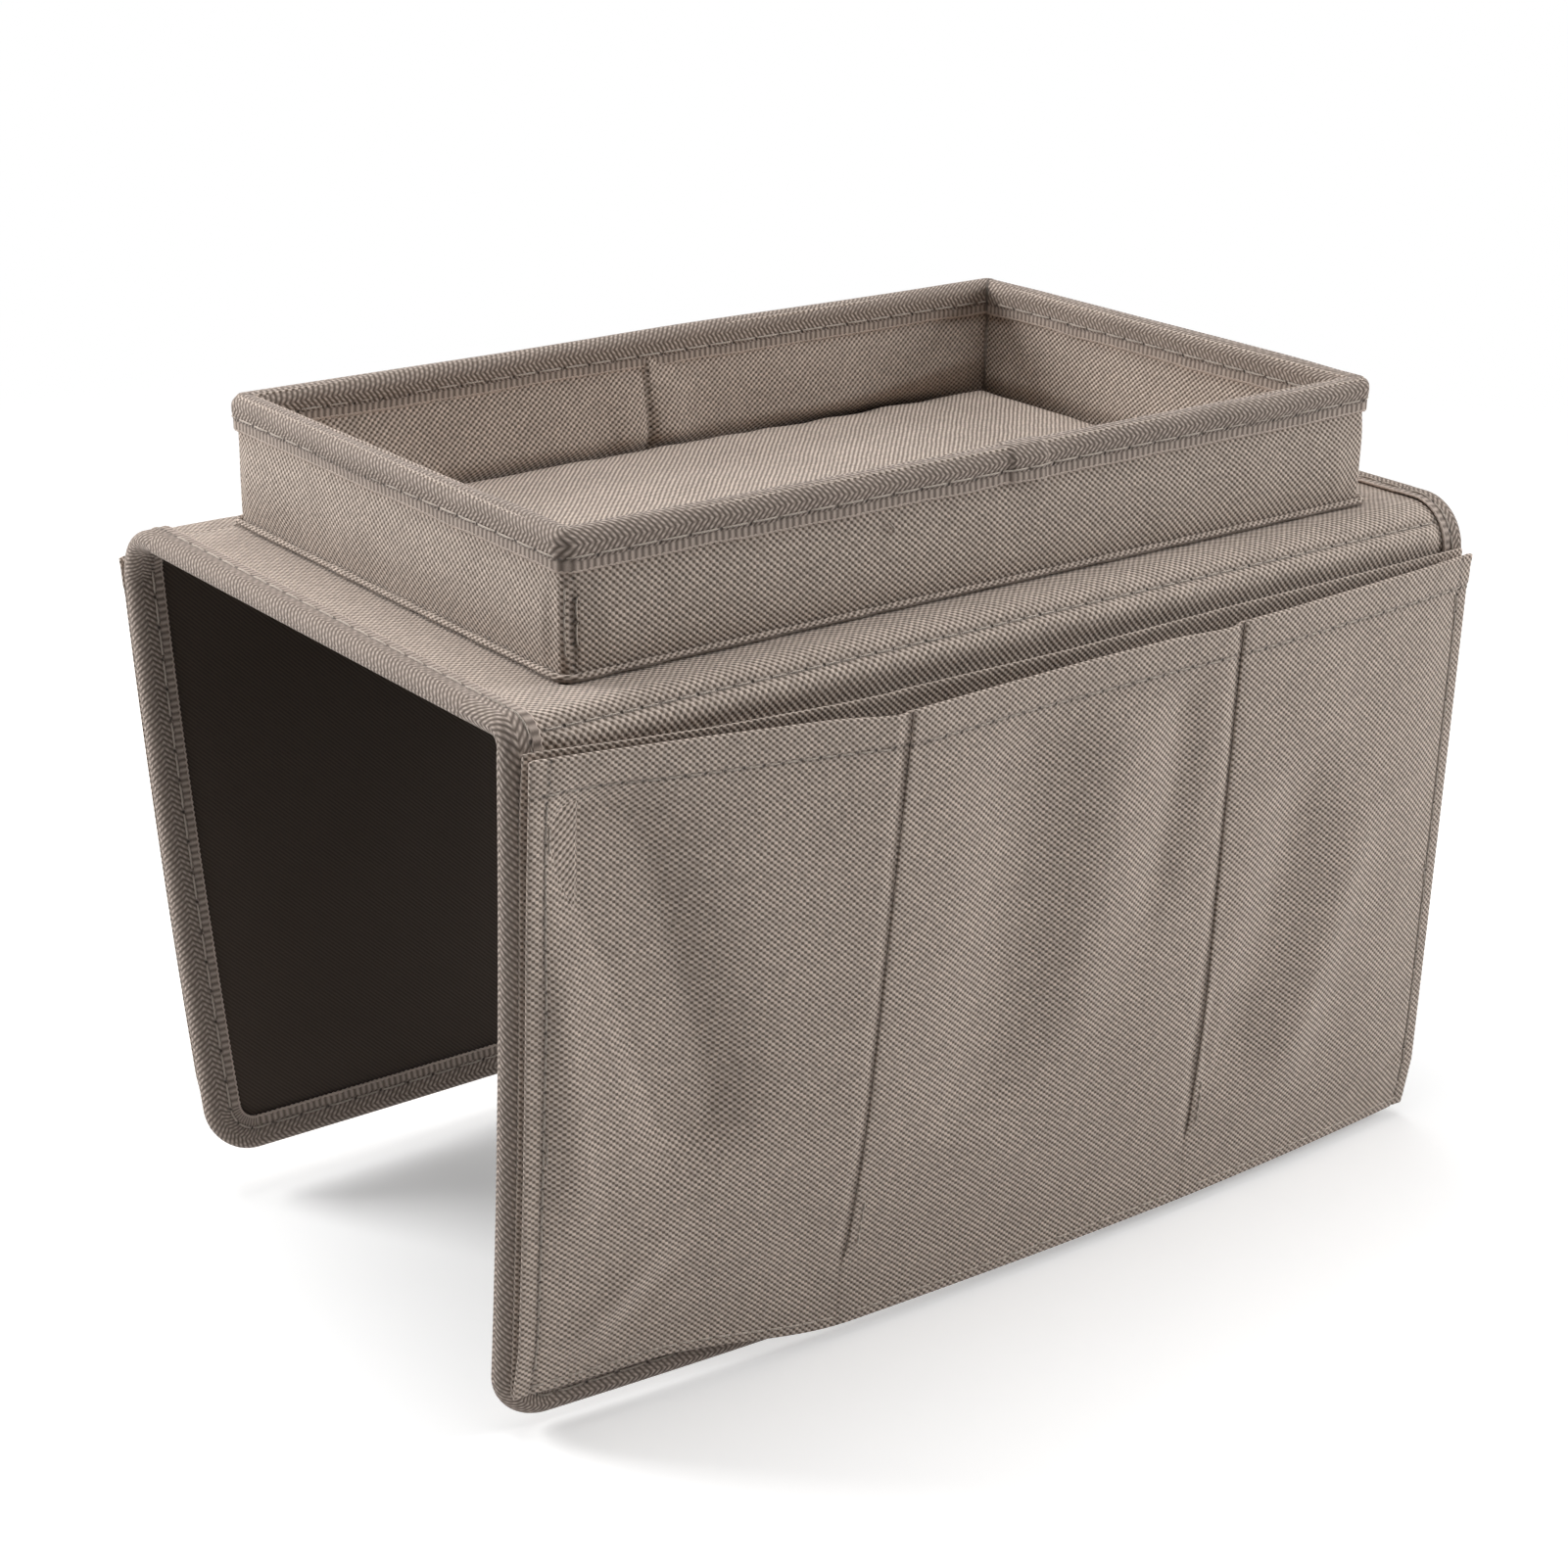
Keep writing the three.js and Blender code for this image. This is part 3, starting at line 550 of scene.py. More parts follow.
CLOTH_MATERIAL = woven("taupe_weave")
COVER_MATERIAL = woven("taupe_weave_cover", rows=(SHOULDER_SEAM,))
POCKET_MATERIAL = woven("taupe_weave_pocket", rows=(HEM_SEAM,), sides=(POCKET_END - SIDE_SEAM,))
WALL_MATERIAL = woven("taupe_weave_wall", columns=(WALL_SEAM,))
LINING_MATERIAL = woven("taupe_weave_lining", columns=(LINING_SEAM,))
FLOOR_CLOTH = woven("taupe_weave_floor", FLOOR_CELL)
TAPE_MATERIAL = taped("taupe_tape", (0.55, 0.455, 0.395), (0.135, 0.105, 0.085))
LINER_MATERIAL = lined("dark_liner", (0.066, 0.046, 0.034), (0.022, 0.015, 0.010))
THREAD_MATERIAL = threaded("taupe_thread", (0.72, 0.63, 0.55), (0.46, 0.385, 0.325))
BOARD_MATERIAL = pressed("greyboard", (0.56, 0.50, 0.40), (0.34, 0.29, 0.22), 900.0, 0.85)
FELT_MATERIAL = pressed("stiff_felt", (0.50, 0.47, 0.42), (0.30, 0.28, 0.25), 1500.0, 0.95)


# Mesh helpers
NOISE_TABLE = 64


def quads_of(first, second, third, fourth):
    return np.stack([a.ravel() for a in (first, second, third, fourth)], axis=1)


def unit(vectors):
    return vectors / np.maximum(np.linalg.norm(vectors, axis=-1, keepdims=True), 1e-9)


def stacked(*axes):
    """Numbers side by side: the parts of points, or of flat places."""
    return np.stack(np.broadcast_arrays(*axes), axis=-1)


def outward(points, faces):
    """The faces, turned if need be so that they point out of the closed body."""
    a, b, c, d = (points[faces[:, k]] for k in range(4))
    volume = np.einsum("ij,ij->i", a, np.cross(b, c)).sum() + np.einsum("ij,ij->i", a, np.cross(c, d)).sum()
    return faces if volume > 0 else faces[:, ::-1]


def make_object(name, points, faces, flat, material, slot):
    mesh = bpy.data.meshes.new(name)
    rows = [row[:3] if row[3] == row[2] else row for row in outward(points, faces).tolist()]
    mesh.from_pydata((points * MM).tolist(), [], rows)
    corner = np.empty(len(mesh.loops), np.int32)
    mesh.loops.foreach_get("vertex_index", corner)
    layer = mesh.uv_layers.new(name=WEAVE_MAP)
    layer.data.foreach_set("uv", (flat[corner] * MM).astype(np.float32).ravel())
    mesh.polygons.foreach_set("use_smooth", np.ones(len(mesh.polygons), bool))
    mesh.materials.append(material)
    made = add_object(name, mesh)
    return made


def shell(outer, inner, flat, wrap=False, rim=1):
    """A closed cloth layer between two grids of points, whose edges are rounded in rim steps. Where it wraps,
    its first axis runs round a loop. Gives its points, faces and flat places."""
    rows, columns = outer.shape[:2]
    grid = np.arange(rows * columns).reshape(rows, columns)
    points = [outer.reshape(-1, 3), inner.reshape(-1, 3)]
    flats = [flat.reshape(-1, 2), flat.reshape(-1, 2)]
    ahead = np.roll(grid, -1, axis=0) if wrap else grid[1:]
    here = grid if wrap else grid[:-1]
    face = quads_of(here[:, :-1], ahead[:, :-1], ahead[:, 1:], here[:, 1:])
    faces = [face, face[:, ::-1] + rows * columns]
    r, c = np.arange(rows), np.arange(columns)
    if wrap:
        first, last = np.zeros_like(r), np.full_like(r, columns - 1)
        rings = [(r, first, r, first + 1), (r[::-1], last, r[::-1], last - 1)]
    else:
        i = np.concatenate([r[:-1], np.full(columns - 1, rows - 1), r[:0:-1], np.zeros(columns - 1, int)])
        j = np.concatenate([np.zeros(rows - 1, int), c[:-1], np.full(rows - 1, columns - 1), c[:0:-1]])
        rings = [(i, j, np.clip(i, 1, rows - 2), np.clip(j, 1, columns - 2))]
    middle = (outer + inner) / 2
    count = 2 * rows * columns
    for i, j, near_i, near_j in rings:
        out = unit(middle[i, j] - middle[near_i, near_j])
        flat_out = unit(flat[i, j] - flat[near_i, near_j])
        half = (outer[i, j] - inner[i, j]) / 2
        radius = np.linalg.norm(half, axis=1, keepdims=True)
        chain = [grid[i, j]]
        for step in range(1, rim + 1):
            turn = math.pi * step / (rim + 1)
            points.append(middle[i, j] + half * math.cos(turn) + out * radius * math.sin(turn))
            flats.append(flat[i, j] + flat_out * radius * turn)
            chain.append(count + np.arange(len(i)))
            count += len(i)
        chain.append(grid[i, j] + rows * columns)
        for here, beyond in zip(chain[:-1], chain[1:]):
            faces.append(quads_of(np.roll(here, -1), here, beyond, np.roll(beyond, -1)))
    return np.concatenate(points), np.concatenate(faces), np.concatenate(flats)


def tube(rings, flat, wrap=False):
    """A closed tube through rings of points, capped by fans unless it runs round a loop."""
    stations, sides = rings.shape[:2]
    grid = np.arange(stations * sides).reshape(stations, sides)
    ahead = np.roll(grid, -1, axis=0) if wrap else grid[1:]
    here = grid if wrap else grid[:-1]
    faces = [quads_of(here, ahead, np.roll(ahead, -1, axis=1), np.roll(here, -1, axis=1))]
    points, flats = [rings.reshape(-1, 3)], [flat.reshape(-1, 2)]
    if not wrap:
        points.append(np.stack([rings[0].mean(axis=0), rings[-1].mean(axis=0)]))
        flats.append(np.stack([flat[0, 0], flat[-1, 0]]))
        for ring, tip, turned in ((grid[0], stations * sides, False), (grid[-1], stations * sides + 1, True)):
            beside = np.roll(ring, -1)
            first, second = (ring, beside) if turned else (beside, ring)
            centre = np.full(sides, tip)
            faces.append(quads_of(first, second, centre, centre))
    return np.concatenate(points), np.concatenate(faces), np.concatenate(flats)


def run_along(x, y):
    """How far along a path each of its points lies."""
    return np.concatenate([[0], np.cumsum(np.hypot(np.diff(x), np.diff(y)))])


def shares_from(turn, fine, coarse):
    """Shares from 0 to 1, finer before the turn than after it."""
    return np.concatenate([np.linspace(0, turn, fine)[:-1], np.linspace(turn, 1, coarse)])


def soft_noise(u, v, spacing, seed):
    """Smooth random height from -1 to 1 over a plane, with hills about one spacing apart."""
    table = np.random.default_rng(seed).uniform(-1, 1, (NOISE_TABLE, NOISE_TABLE))
    a, b = u / spacing, v / spacing
    i, j = np.floor(a).astype(int), np.floor(b).astype(int)
    p, q = a - i, b - j
    p, q = p * p * (3 - 2 * p), q * q * (3 - 2 * q)
    at = lambda di, dj: table[(i + di) % NOISE_TABLE, (j + dj) % NOISE_TABLE]
    return (at(0, 0) * (1 - p) + at(1, 0) * p) * (1 - q) + (at(0, 1) * (1 - p) + at(1, 1) * p) * q


def smooth_share(value, low, high):
    """0 at the low value and 1 at the high one, or the other way round where low is the greater."""
    t = np.clip((value - low) / (high - low), 0, 1)
    return t * t * (3 - 2 * t)


def roll(value, middle, width, height=1.0):
    """A rounded ridge across a value."""
    return height * np.exp(-(((value - middle) / width) ** 2))


# Places on a flap
END_DRAW = 3.5
END_DRAW_FROM = 110.0
BOARD_END = (146, 157)
FOOT_RISE = (58, 122)
MOUTH_OPEN_TO = 0.33
END_CLOSES_FROM = 0.91

# Where the cloth begins and ends to bend with a flap: how far in from the top's edge or below it, and how far
# out from it. follow works these places out but doesn't use them.
FOLD_IN = 4.0
FOLD_OUT = 4.6


def sway_across(hang, along):
    left, middle, right = hang["sway"]
    share = along / HALF_LENGTH
    return middle + (right - left) / 2 * share + ((right + left) / 2 - middle) * share**2


def drawn_in(x):
    """The right end of the cloth is drawn in a little, most at its very edge."""
    return x - END_DRAW * np.maximum(0, (x - END_DRAW_FROM) / (HALF_LENGTH - END_DRAW_FROM)) ** 2


def shoulder_radius(hang, along):
    """How round the cloth's inner face bends over the arm's edge: more at its right end, past the board."""
    left, right, extra = hang["round"]
    share = (along / HALF_LENGTH + 1) / 2
    return left + (right - left) * share + extra * smooth_share(along, *BOARD_END)


def flap_place(hang, along, drop, height):
    """A point measured on the flap's own flat face, also where that runs on above the bend."""
    along, drop, height = np.broadcast_arrays(*(np.asarray(a, float) for a in (along, drop, height)))
    side, lean = hang["side"], hang["lean"]
    out = height + sway_across(hang, along) * (np.maximum(drop, 0) / SWAY_DROP) ** 2
    y = HALF_WIDTH + out * math.cos(lean) - drop * math.sin(lean)
    z = -out * math.sin(lean) - drop * math.cos(lean)
    return stacked(drawn_in(-side * along), side * y, z)


def saddle(hang, along, drop, height):
    """A point of the cloth that runs over the shoulder. Past BEND_FLAP the drop is measured down the flap,
    and past BEND_TOP on the other side of 0 it is measured back over the top panel from the fold axis."""
    along, drop, height = np.broadcast_arrays(*(np.asarray(a, float) for a in (along, drop, height)))
    side, lean = hang["side"], hang["lean"]
    turn = math.pi / 2 + lean
    radius = shoulder_radius(hang, along)
    tangent = radius * math.tan(turn / 2)
    bend = (radius + COVER_TOP) * turn
    zone = BEND_TOP + BEND_FLAP
    run = (BEND_FLAP - drop) * (zone - 2 * tangent + bend) / zone
    past = run - (BEND_FLAP - tangent)
    angle = -lean + np.clip(past / bend, 0, 1) * turn
    below = np.where(drop > BEND_FLAP, drop - tangent, np.maximum(-past, 0))
    back = np.where(drop < -BEND_TOP, -drop - tangent, np.maximum(past - bend, 0))
    out = radius + height + sway_across(hang, along) * ((below + tangent) / SWAY_DROP) ** 2 * (below > 0)
    y = HALF_WIDTH - tangent + out * np.cos(angle) - below * math.sin(lean) - back
    z = -radius + out * np.sin(angle) - below * math.cos(lean)
    return stacked(drawn_in(-side * along), side * y, z)


def normal_of(place, hang, along, drop, height):
    return unit(place(hang, along, drop, np.asarray(height) + 0.5) - place(hang, along, drop, height))


def pocket_foot(hang, along):
    above, left, right = hang["foot"]
    rise = np.where(along < 0, left, right) * smooth_share(np.abs(along), *FOOT_RISE)
    return hang["length"] - above - rise


def end_stand_off(hang, end, share):
    """How far one end of the pocket front stands off the back: widest at the mouth, closed at the foot."""
    mouth, low = hang["mouth"][end], hang["low"]
    opened = low + max(0.0, mouth - low) * np.maximum(0, 1 - share / MOUTH_OPEN_TO) ** 2
    closing = np.maximum(0, (share - END_CLOSES_FROM) / (1 - END_CLOSES_FROM))
    return opened + (GAP - opened) * closing


def follow(made, hang):
    """Bakes a piece's place into its mesh. The piece is built bent over the shoulder already: it follows the
    top panel before the bend and the flap after it. The start and end of the bend are worked out but not used.
    """
    side = hang["side"]
    start = (0, side * (HALF_WIDTH - FOLD_IN) * MM, FOLD_OUT * MM)
    end = (0, side * (HALF_WIDTH + FOLD_OUT) * MM, -FOLD_IN * MM)
    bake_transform(made)


# Cloth over the top, the shoulder and the flap
SHOULDER_END = 24.0
COVER_TOP_STEP = 10.0
COVER_ENDS = (10, 16)

# Rolls of cloth beside the shoulder stitches: how far below the row they lie, their width and their height
SHOULDER_HUMP = (3.6, 3.0, 1.35)
SHOULDER_ROLL = (-2.4, 1.8, 0.35)
SHOULDER_GROOVE = (0.0, 0.8, -0.45)
SHOULDER_UNEVEN = 0.5
COVER_UNEVEN = 0.14
LINER_CREASE = 0.9


def flap_columns(inset, corner_steps, steps):
    """Places along a cloth that ends an inset from the flap's edge, closer together at its round corners."""
    corner = FLAP_STRAIGHT + (FLAP_CORNER - inset) * np.sin(np.linspace(0, math.pi / 2, corner_steps))
    return np.concatenate([-corner[::-1], np.linspace(-FLAP_STRAIGHT, FLAP_STRAIGHT, steps)[1:-1], corner])


def flap_foot(hang, columns, inset):
    """How far down that cloth ends at each of those places."""
    past = np.maximum(0, np.abs(columns) - FLAP_STRAIGHT)
    return hang["length"] - FLAP_CORNER + np.sqrt(np.maximum(0, (FLAP_CORNER - inset) ** 2 - past**2))


def saddle_cloth(hang, along, drop, high, low):
    """A sheet over the shoulder, between two heights."""
    outer, inner = saddle(hang, along, drop, high), saddle(hang, along, drop, low)
    return shell(outer, inner, stacked(along, drop))


def cover_cloth(hang, top_reach):
    """The cover, from under the tray over the shoulder and down behind the pockets."""
    inset = BINDING_REACH + CLEARANCE
    columns = flap_columns(inset, 9, 120)
    over_top = np.arange(-top_reach, -BEND_TOP, COVER_TOP_STEP)
    upper = np.concatenate([over_top, np.linspace(-BEND_TOP, SHOULDER_END, 66)])
    lower = flap_foot(hang, columns, inset)[:, None] * np.linspace(0.14, 1, 16)
    drop = np.concatenate([np.repeat(upper[None], len(columns), axis=0), lower], axis=1)
    along = np.repeat(columns[:, None], drop.shape[1], axis=1)
    height = COVER_TOP + cover_bulge(hang, along, drop)
    return saddle_cloth(hang, along, drop, height, height - CLOTH)


def cover_bulge(hang, along, drop):
    """The cloth swells a little between the shoulder stitches and the pocket, and lies uneven."""
    seed = hang["seed"]
    below = drop - SHOULDER_SEAM
    end = smooth_share(np.abs(along), *(HALF_LENGTH - inset for inset in COVER_ENDS))
    middle, width, height = SHOULDER_HUMP
    hump = roll(below, middle, width, height + SHOULDER_UNEVEN * soft_noise(along, drop, 16, seed))
    above = roll(below, *SHOULDER_ROLL) * (1 + SHOULDER_UNEVEN * soft_noise(along, drop, 11, seed + 2))
    near_bend = smooth_share(drop, -2 * BEND_TOP, -BEND_TOP) * (drop < BEND_FLAP)
    uneven = COVER_UNEVEN * soft_noise(along, drop, 9, seed + 1) * near_bend
    return end * (hump * smooth_share(below, 0, 1.5) + roll(below, *SHOULDER_GROOVE) + above + uneven)


def liner_cloth(hang):
    """The dark liner inside a flap, from the fold down. It lies in slanting creases."""
    columns = flap_columns(LINER_INSET, 6, 60)
    foot = flap_foot(hang, columns, LINER_INSET)[:, None]
    shares = shares_from(0.18, 26, 36)
    drop = (foot + BEND_TOP) * shares[None] - BEND_TOP
    along = np.repeat(columns[:, None], len(shares), axis=1)
    slanted = soft_noise(along * 0.8 + drop * 0.5, drop * 0.7 - along * 0.5, 26, hang["seed"] + 5)
    free = smooth_share(drop, 4, 24) * smooth_share(foot - drop, 0, 16)
    creases = LINER_CREASE * np.maximum(0, 0.4 + slanted) * free
    return saddle_cloth(hang, along, drop, LINER, -creases)


def felt_sheet(hang):
    """The stiff felt between a flap's liner and its cover."""
    columns = np.linspace(-HALF_LENGTH + FELT_INSET, HALF_LENGTH - FELT_INSET, 60)
    foot = flap_foot(hang, columns, FELT_INSET)[:, None]
    drop = FELT_TOP + (foot - FELT_TOP) * np.linspace(0, 1, 30)
    along = np.repeat(columns[:, None], drop.shape[1], axis=1)
    low = LINER + GAP
    return saddle_cloth(hang, along, drop, low + FELT, low)


def top_liner_cloth():
    reach = HALF_LENGTH - TAPE_WIDTH - CLEARANCE
    u, v = np.meshgrid(
        np.linspace(-reach, reach, 60), np.linspace(-REAR_SEAM + GAP, REAR_SEAM - GAP, 40), indexing="ij"
    )
    high, low = (stacked(drawn_in(u), v, level) for level in (LINER, 0.0))
    return shell(high, low, stacked(u, v))


# Tape. It is folded round an edge with a rounded back, and its legs stand a belly off what they bind. Its own
# edges are serrated by the tooth.
TAPE_STEP = 0.75
TAPE_ROUND = 2.8
TAPE_BELLY = 0.3
TAPE_TOOTH = 0.16
TAPE_EDGE_ROUNDING = 3
LEAST_RADIUS = 0.3


def tape_section(bound):
    """The outer and inner line of a tape folded over an edge, as (across, back) from the middle of what it
    binds and from the outside of the fold, and how far each point lies from the tape's nearer edge."""
    outer_half = bound / 2 + GAP + TAPE
    radius = min(TAPE_ROUND, outer_half)
    legs = np.linspace(TAPE_WIDTH - TAPE / 2, radius, 9)
    turns = np.linspace(0, math.pi / 2, 8)[1:-1]
    rounded = [(outer_half - radius + radius * math.cos(t), radius - radius * math.sin(t)) for t in turns]
    half_line = np.array([(outer_half, leg) for leg in legs] + rounded)
    if outer_half - radius > GAP:
        half_line = np.concatenate([half_line, [[outer_half - radius, 0.0]]])
    outer = np.concatenate([half_line, [[0.0, 0.0]], half_line[::-1] * (-1, 1)])
    belly = TAPE_BELLY * np.sin(math.pi * np.clip((outer[:, 1] - 0.5) / (TAPE_WIDTH - 3.5), 0, 1))
    outer[:, 0] += np.sign(outer[:, 0]) * belly
    ahead = np.gradient(outer, axis=0)
    normal = unit(stacked(-ahead[:, 1], ahead[:, 0]))
    inner = outer - normal * TAPE * np.sign(normal[0, 0])
    run = run_along(*outer.T)
    return outer, inner, np.minimum(run, run[-1] - run)


def tape_mesh(place, run, bound, wrap=False):
    """Tape swept along stations. place(across, back) gives the points of one line of the tape, and run is
    how far along the tape each station lies."""
    outer, inner, flat_across = tape_section(bound)
    stations = len(run)
    serrated = np.where(np.arange(stations) % 2, 1.0, -1.0) * TAPE_TOOTH
    grids = []
    for line in (outer, inner):
        points = []
        for index, (across, back) in enumerate(line):
            edge = index in (0, len(line) - 1)
            points.append(place(np.full(stations, across), back + serrated * edge))
        grids.append(np.stack(points, axis=1))
    flat = stacked(run[:, None], flat_across)
    return shell(*grids, flat, wrap=wrap, rim=TAPE_EDGE_ROUNDING)


def even_steps(length):
    """An even number of tape steps that fill a length, so that its two serrated ends match."""
    return int(length / TAPE_STEP / 2) * 2


def end_tape(side):
    """Tape over one end of the top panel, between the two shoulders."""
    y = np.linspace(-REAR_SEAM, REAR_SEAM, int(round(REAR_SEAM / TAPE_STEP)) * 2 + 1)

    def place(across, back):
        return stacked(drawn_in(side * (HALF_LENGTH - back)), y, TAPE_TOP / 2 + across)

    return tape_mesh(place, y + REAR_SEAM, END_BOUND)


def flap_tape_edge(hang, back):
    """Along and drop of the stations of the flap's tape, for an inset from the flap's edge: from the left
    shoulder down, round both lower corners and up again."""
    length = hang["length"]
    straight_end = length - FLAP_CORNER
    sides = np.linspace(-BEND_TOP, straight_end, even_steps(straight_end + BEND_TOP) + 1)
    turns = np.linspace(0, math.pi / 2, even_steps(FLAP_CORNER * math.pi / 2) + 1)[1:-1]
    bottoms = np.linspace(-FLAP_STRAIGHT, FLAP_STRAIGHT, even_steps(2 * FLAP_STRAIGHT) + 1)
    counts = [len(sides), len(turns), len(bottoms), len(turns), len(sides)]
    insets = np.split(np.broadcast_to(back, (sum(counts),)), np.cumsum(counts)[:-1])

    def corner(inset, angles):
        radius = np.maximum(FLAP_CORNER - inset, LEAST_RADIUS)
        within = inset + radius
        return HALF_LENGTH - within + radius * np.cos(angles), length - within + radius * np.sin(angles)

    left, left_drop = corner(insets[1], turns)
    right, right_drop = corner(insets[3], turns[::-1])
    along = [insets[0] - HALF_LENGTH, -left, bottoms, right, HALF_LENGTH - insets[4]]
    drop = [sides, left_drop, length - insets[2], right_drop, sides[::-1]]
    return np.concatenate(along), np.concatenate(drop)


def flap_tape_height(across, drop):
    """Height of a point of the tape over the arm's side. Near the fold the inner leg draws in to the face
    that lies on the arm."""
    share = (across + TAPE_TOP - COVER_TOP / 2) / (2 * TAPE_TOP - COVER_TOP)
    low = -BINDING_REACH * smooth_share(drop, -2, 6)
    return low + share * (TAPE_TOP - low)


def flap_tape(hang):
    def place(across, back):
        along, drop = flap_tape_edge(hang, back)
        return saddle(hang, along, drop, flap_tape_height(across, drop))

    return tape_mesh(place, run_along(*flap_tape_edge(hang, 0.0)), COVER_TOP)


# Round the tray
RIM_LAP = (2.0, 13.0)
RIM_LAP_EDGE = 0.7
RIM_LAP_THICKNESS = 0.8
RIM_SINK = 0.35

# How the rim's tape is uneven on its back, sags and bows, and how the cushion puffs: height, spacing and seed
RIM_UNEVEN = (0.26, 13, 21)
RIM_SAG = (0.55, 61, 23)
RIM_BOW = (0.7, 83, 24)
RIM_BOW_FROM = 0.35
CUSHION_PUFFS = ((0.6, 34, 31), (0.34, 17, 32))


def outline_points(stations, out=0.0, radius=TRAY_CORNER, high=TRAY_HIGH):
    """Places round the tray, moved out from the sides of its outer cloth."""
    sx, sy, angle = stations.T
    x = sx * (high[0] + out - radius) + radius * np.cos(angle)
    y = sy * (high[1] + out - radius) + radius * np.sin(angle)
    return x, y


def outline_stations(step, corner_steps):
    """Stations round a rectangle with round corners, from the middle of its rear right corner: how far each
    lies towards the sides and which way it faces. Gives them and how far along the tray's side they lie."""
    signs = ((1, 1), (-1, 1), (-1, -1), (1, -1))
    rows = []
    for corner, (sx, sy) in enumerate(signs):
        nx, ny = signs[(corner + 1) % 4]
        count = int(round(TRAY_HIGH[corner % 2] / step)) * 2
        for turn in np.linspace(corner, corner + 1, corner_steps + 1)[:-1]:
            rows.append((sx, sy, turn * math.pi / 2))
        for share in np.linspace(0, 1, count + 1)[:-1]:
            rows.append((sx + (nx - sx) * share, sy + (ny - sy) * share, (corner + 1) * math.pi / 2))
    stations = np.array(rows)
    return stations, run_along(*outline_points(stations))


def from_corner(stations):
    """0 at the tray's corners and 1 in the middle of its sides."""
    return 1 - np.minimum(np.abs(stations[:, 0]), np.abs(stations[:, 1]))


def rim_lap(stations):
    """How much thicker the rim's tape is where its ends lap on the front wall."""
    x = outline_points(stations)[0]
    on_front = (stations[:, 1] == -1) & (np.abs(stations[:, 0]) < 1)
    low, high = RIM_LAP
    inside = smooth_share(x, low - RIM_LAP_EDGE, low) * smooth_share(x, high + RIM_LAP_EDGE, high)
    return RIM_LAP_THICKNESS * inside * on_front


def rim_tape():
    """The tape over the walls. It sags and bows between the corners, and its back and its legs are uneven."""
    stations, run = outline_stations(TAPE_STEP, 9)
    lap = rim_lap(stations)
    shapes = (RIM_UNEVEN, RIM_SAG, RIM_BOW)
    uneven, sag, bow = (height * soft_noise(run, run * 0, spacing, seed) for height, spacing, seed in shapes)
    bow = bow * smooth_share(from_corner(stations), 0.0, RIM_BOW_FROM)

    def place(across, back):
        puff = np.sign(across) * lap + 0.12 * soft_noise(run, across * 9, 17, 22)
        out = across - WALL_STACK / 2 + puff * (np.abs(across) > 1) + bow * smooth_share(back, 9, 4)
        x, y = outline_points(stations, out, np.maximum(TRAY_CORNER + out, LEAST_RADIUS))
        up = sag * (back < 5) + uneven * (back > 1) + 0.5 * lap * (back < 1) - RIM_SINK
        return stacked(x, y, RIM_TOP - back + up)

    return tape_mesh(place, run, WALL_STACK, wrap=True)


# Tray
WALL_LEVELS = 26
WALL_BELLY = 1.5
WALL_BELLY_TOP = 1.38
WALL_CORNER_FADE = 14
WALL_CORNER_HOLD = 0.8
WALL_UNEVEN = 0.35
WALL_SEED = 51
WALL_SEAM_GROOVE = (0.0, 0.8, -0.9)
WALL_SEAM_ROLL = (-3.2, 2.0, 0.5)

# How far the lining stands off the walls: everywhere, in puffs, beside its seam and near the far right
# corner. Its lap ends at the seam, and it leans in at the foot of the rear wall.
LINING_OUT = 0.8
LINING_PUFF = 1.4
LINING_SEAM_PUFF = 1.4
LINING_CORNER_PUFF = 3.0
LINING_LAP = 1.1
LINING_LAP_FADE = 5.0
LINING_LEAN = 2.4
LINING_CREST = 0.2
LINING_CREST_RISE = 0.16
LINING_FLAT_FROM = 0.72
LINING_CLOTH = 0.7
LINING_CORNER = 1.0
LINING_SEED = 52


def wall_cloth(low, high, thickness, radius, swell):
    """Cloth round the tray's walls. swell gives how far it stands out, from a place along the run, a level and
    how far that place is from a corner."""
    stations, run = outline_stations(1.0, 6)
    z = np.linspace(low[2], high[2], WALL_LEVELS)
    outer, inner = [], []
    for level in z:
        out = swell(run, level, from_corner(stations))
        for grid, offset in ((outer, 0.0), (inner, -thickness)):
            x, y = outline_points(stations, out + offset, max(radius + offset, 0.35), high)
            grid.append(stacked(x, y, level))
    flat = stacked(run[:, None], high[2] - z)
    return shell(np.stack(outer, axis=1), np.stack(inner, axis=1), flat, wrap=True)


def outer_swell(run, level, corner_distance):
    """The outer cloth bellies out below the tape and is held in at the corners and at its seam."""
    share = (level - TRAY_LOW[2]) / (TRAY_HIGH[2] - TRAY_LOW[2])
    free = math.sin(math.pi * min(1.0, share * WALL_BELLY_TOP))
    corner = 1 - np.minimum(1, corner_distance * WALL_CORNER_FADE)
    seam = roll(run - WALL_SEAM, *WALL_SEAM_GROOVE) + roll(run - WALL_SEAM, *WALL_SEAM_ROLL)
    belly = WALL_BELLY * (1 - WALL_CORNER_HOLD * corner)
    return free * (belly + seam + WALL_UNEVEN * soft_noise(run, run * 0 + level, 15, WALL_SEED))


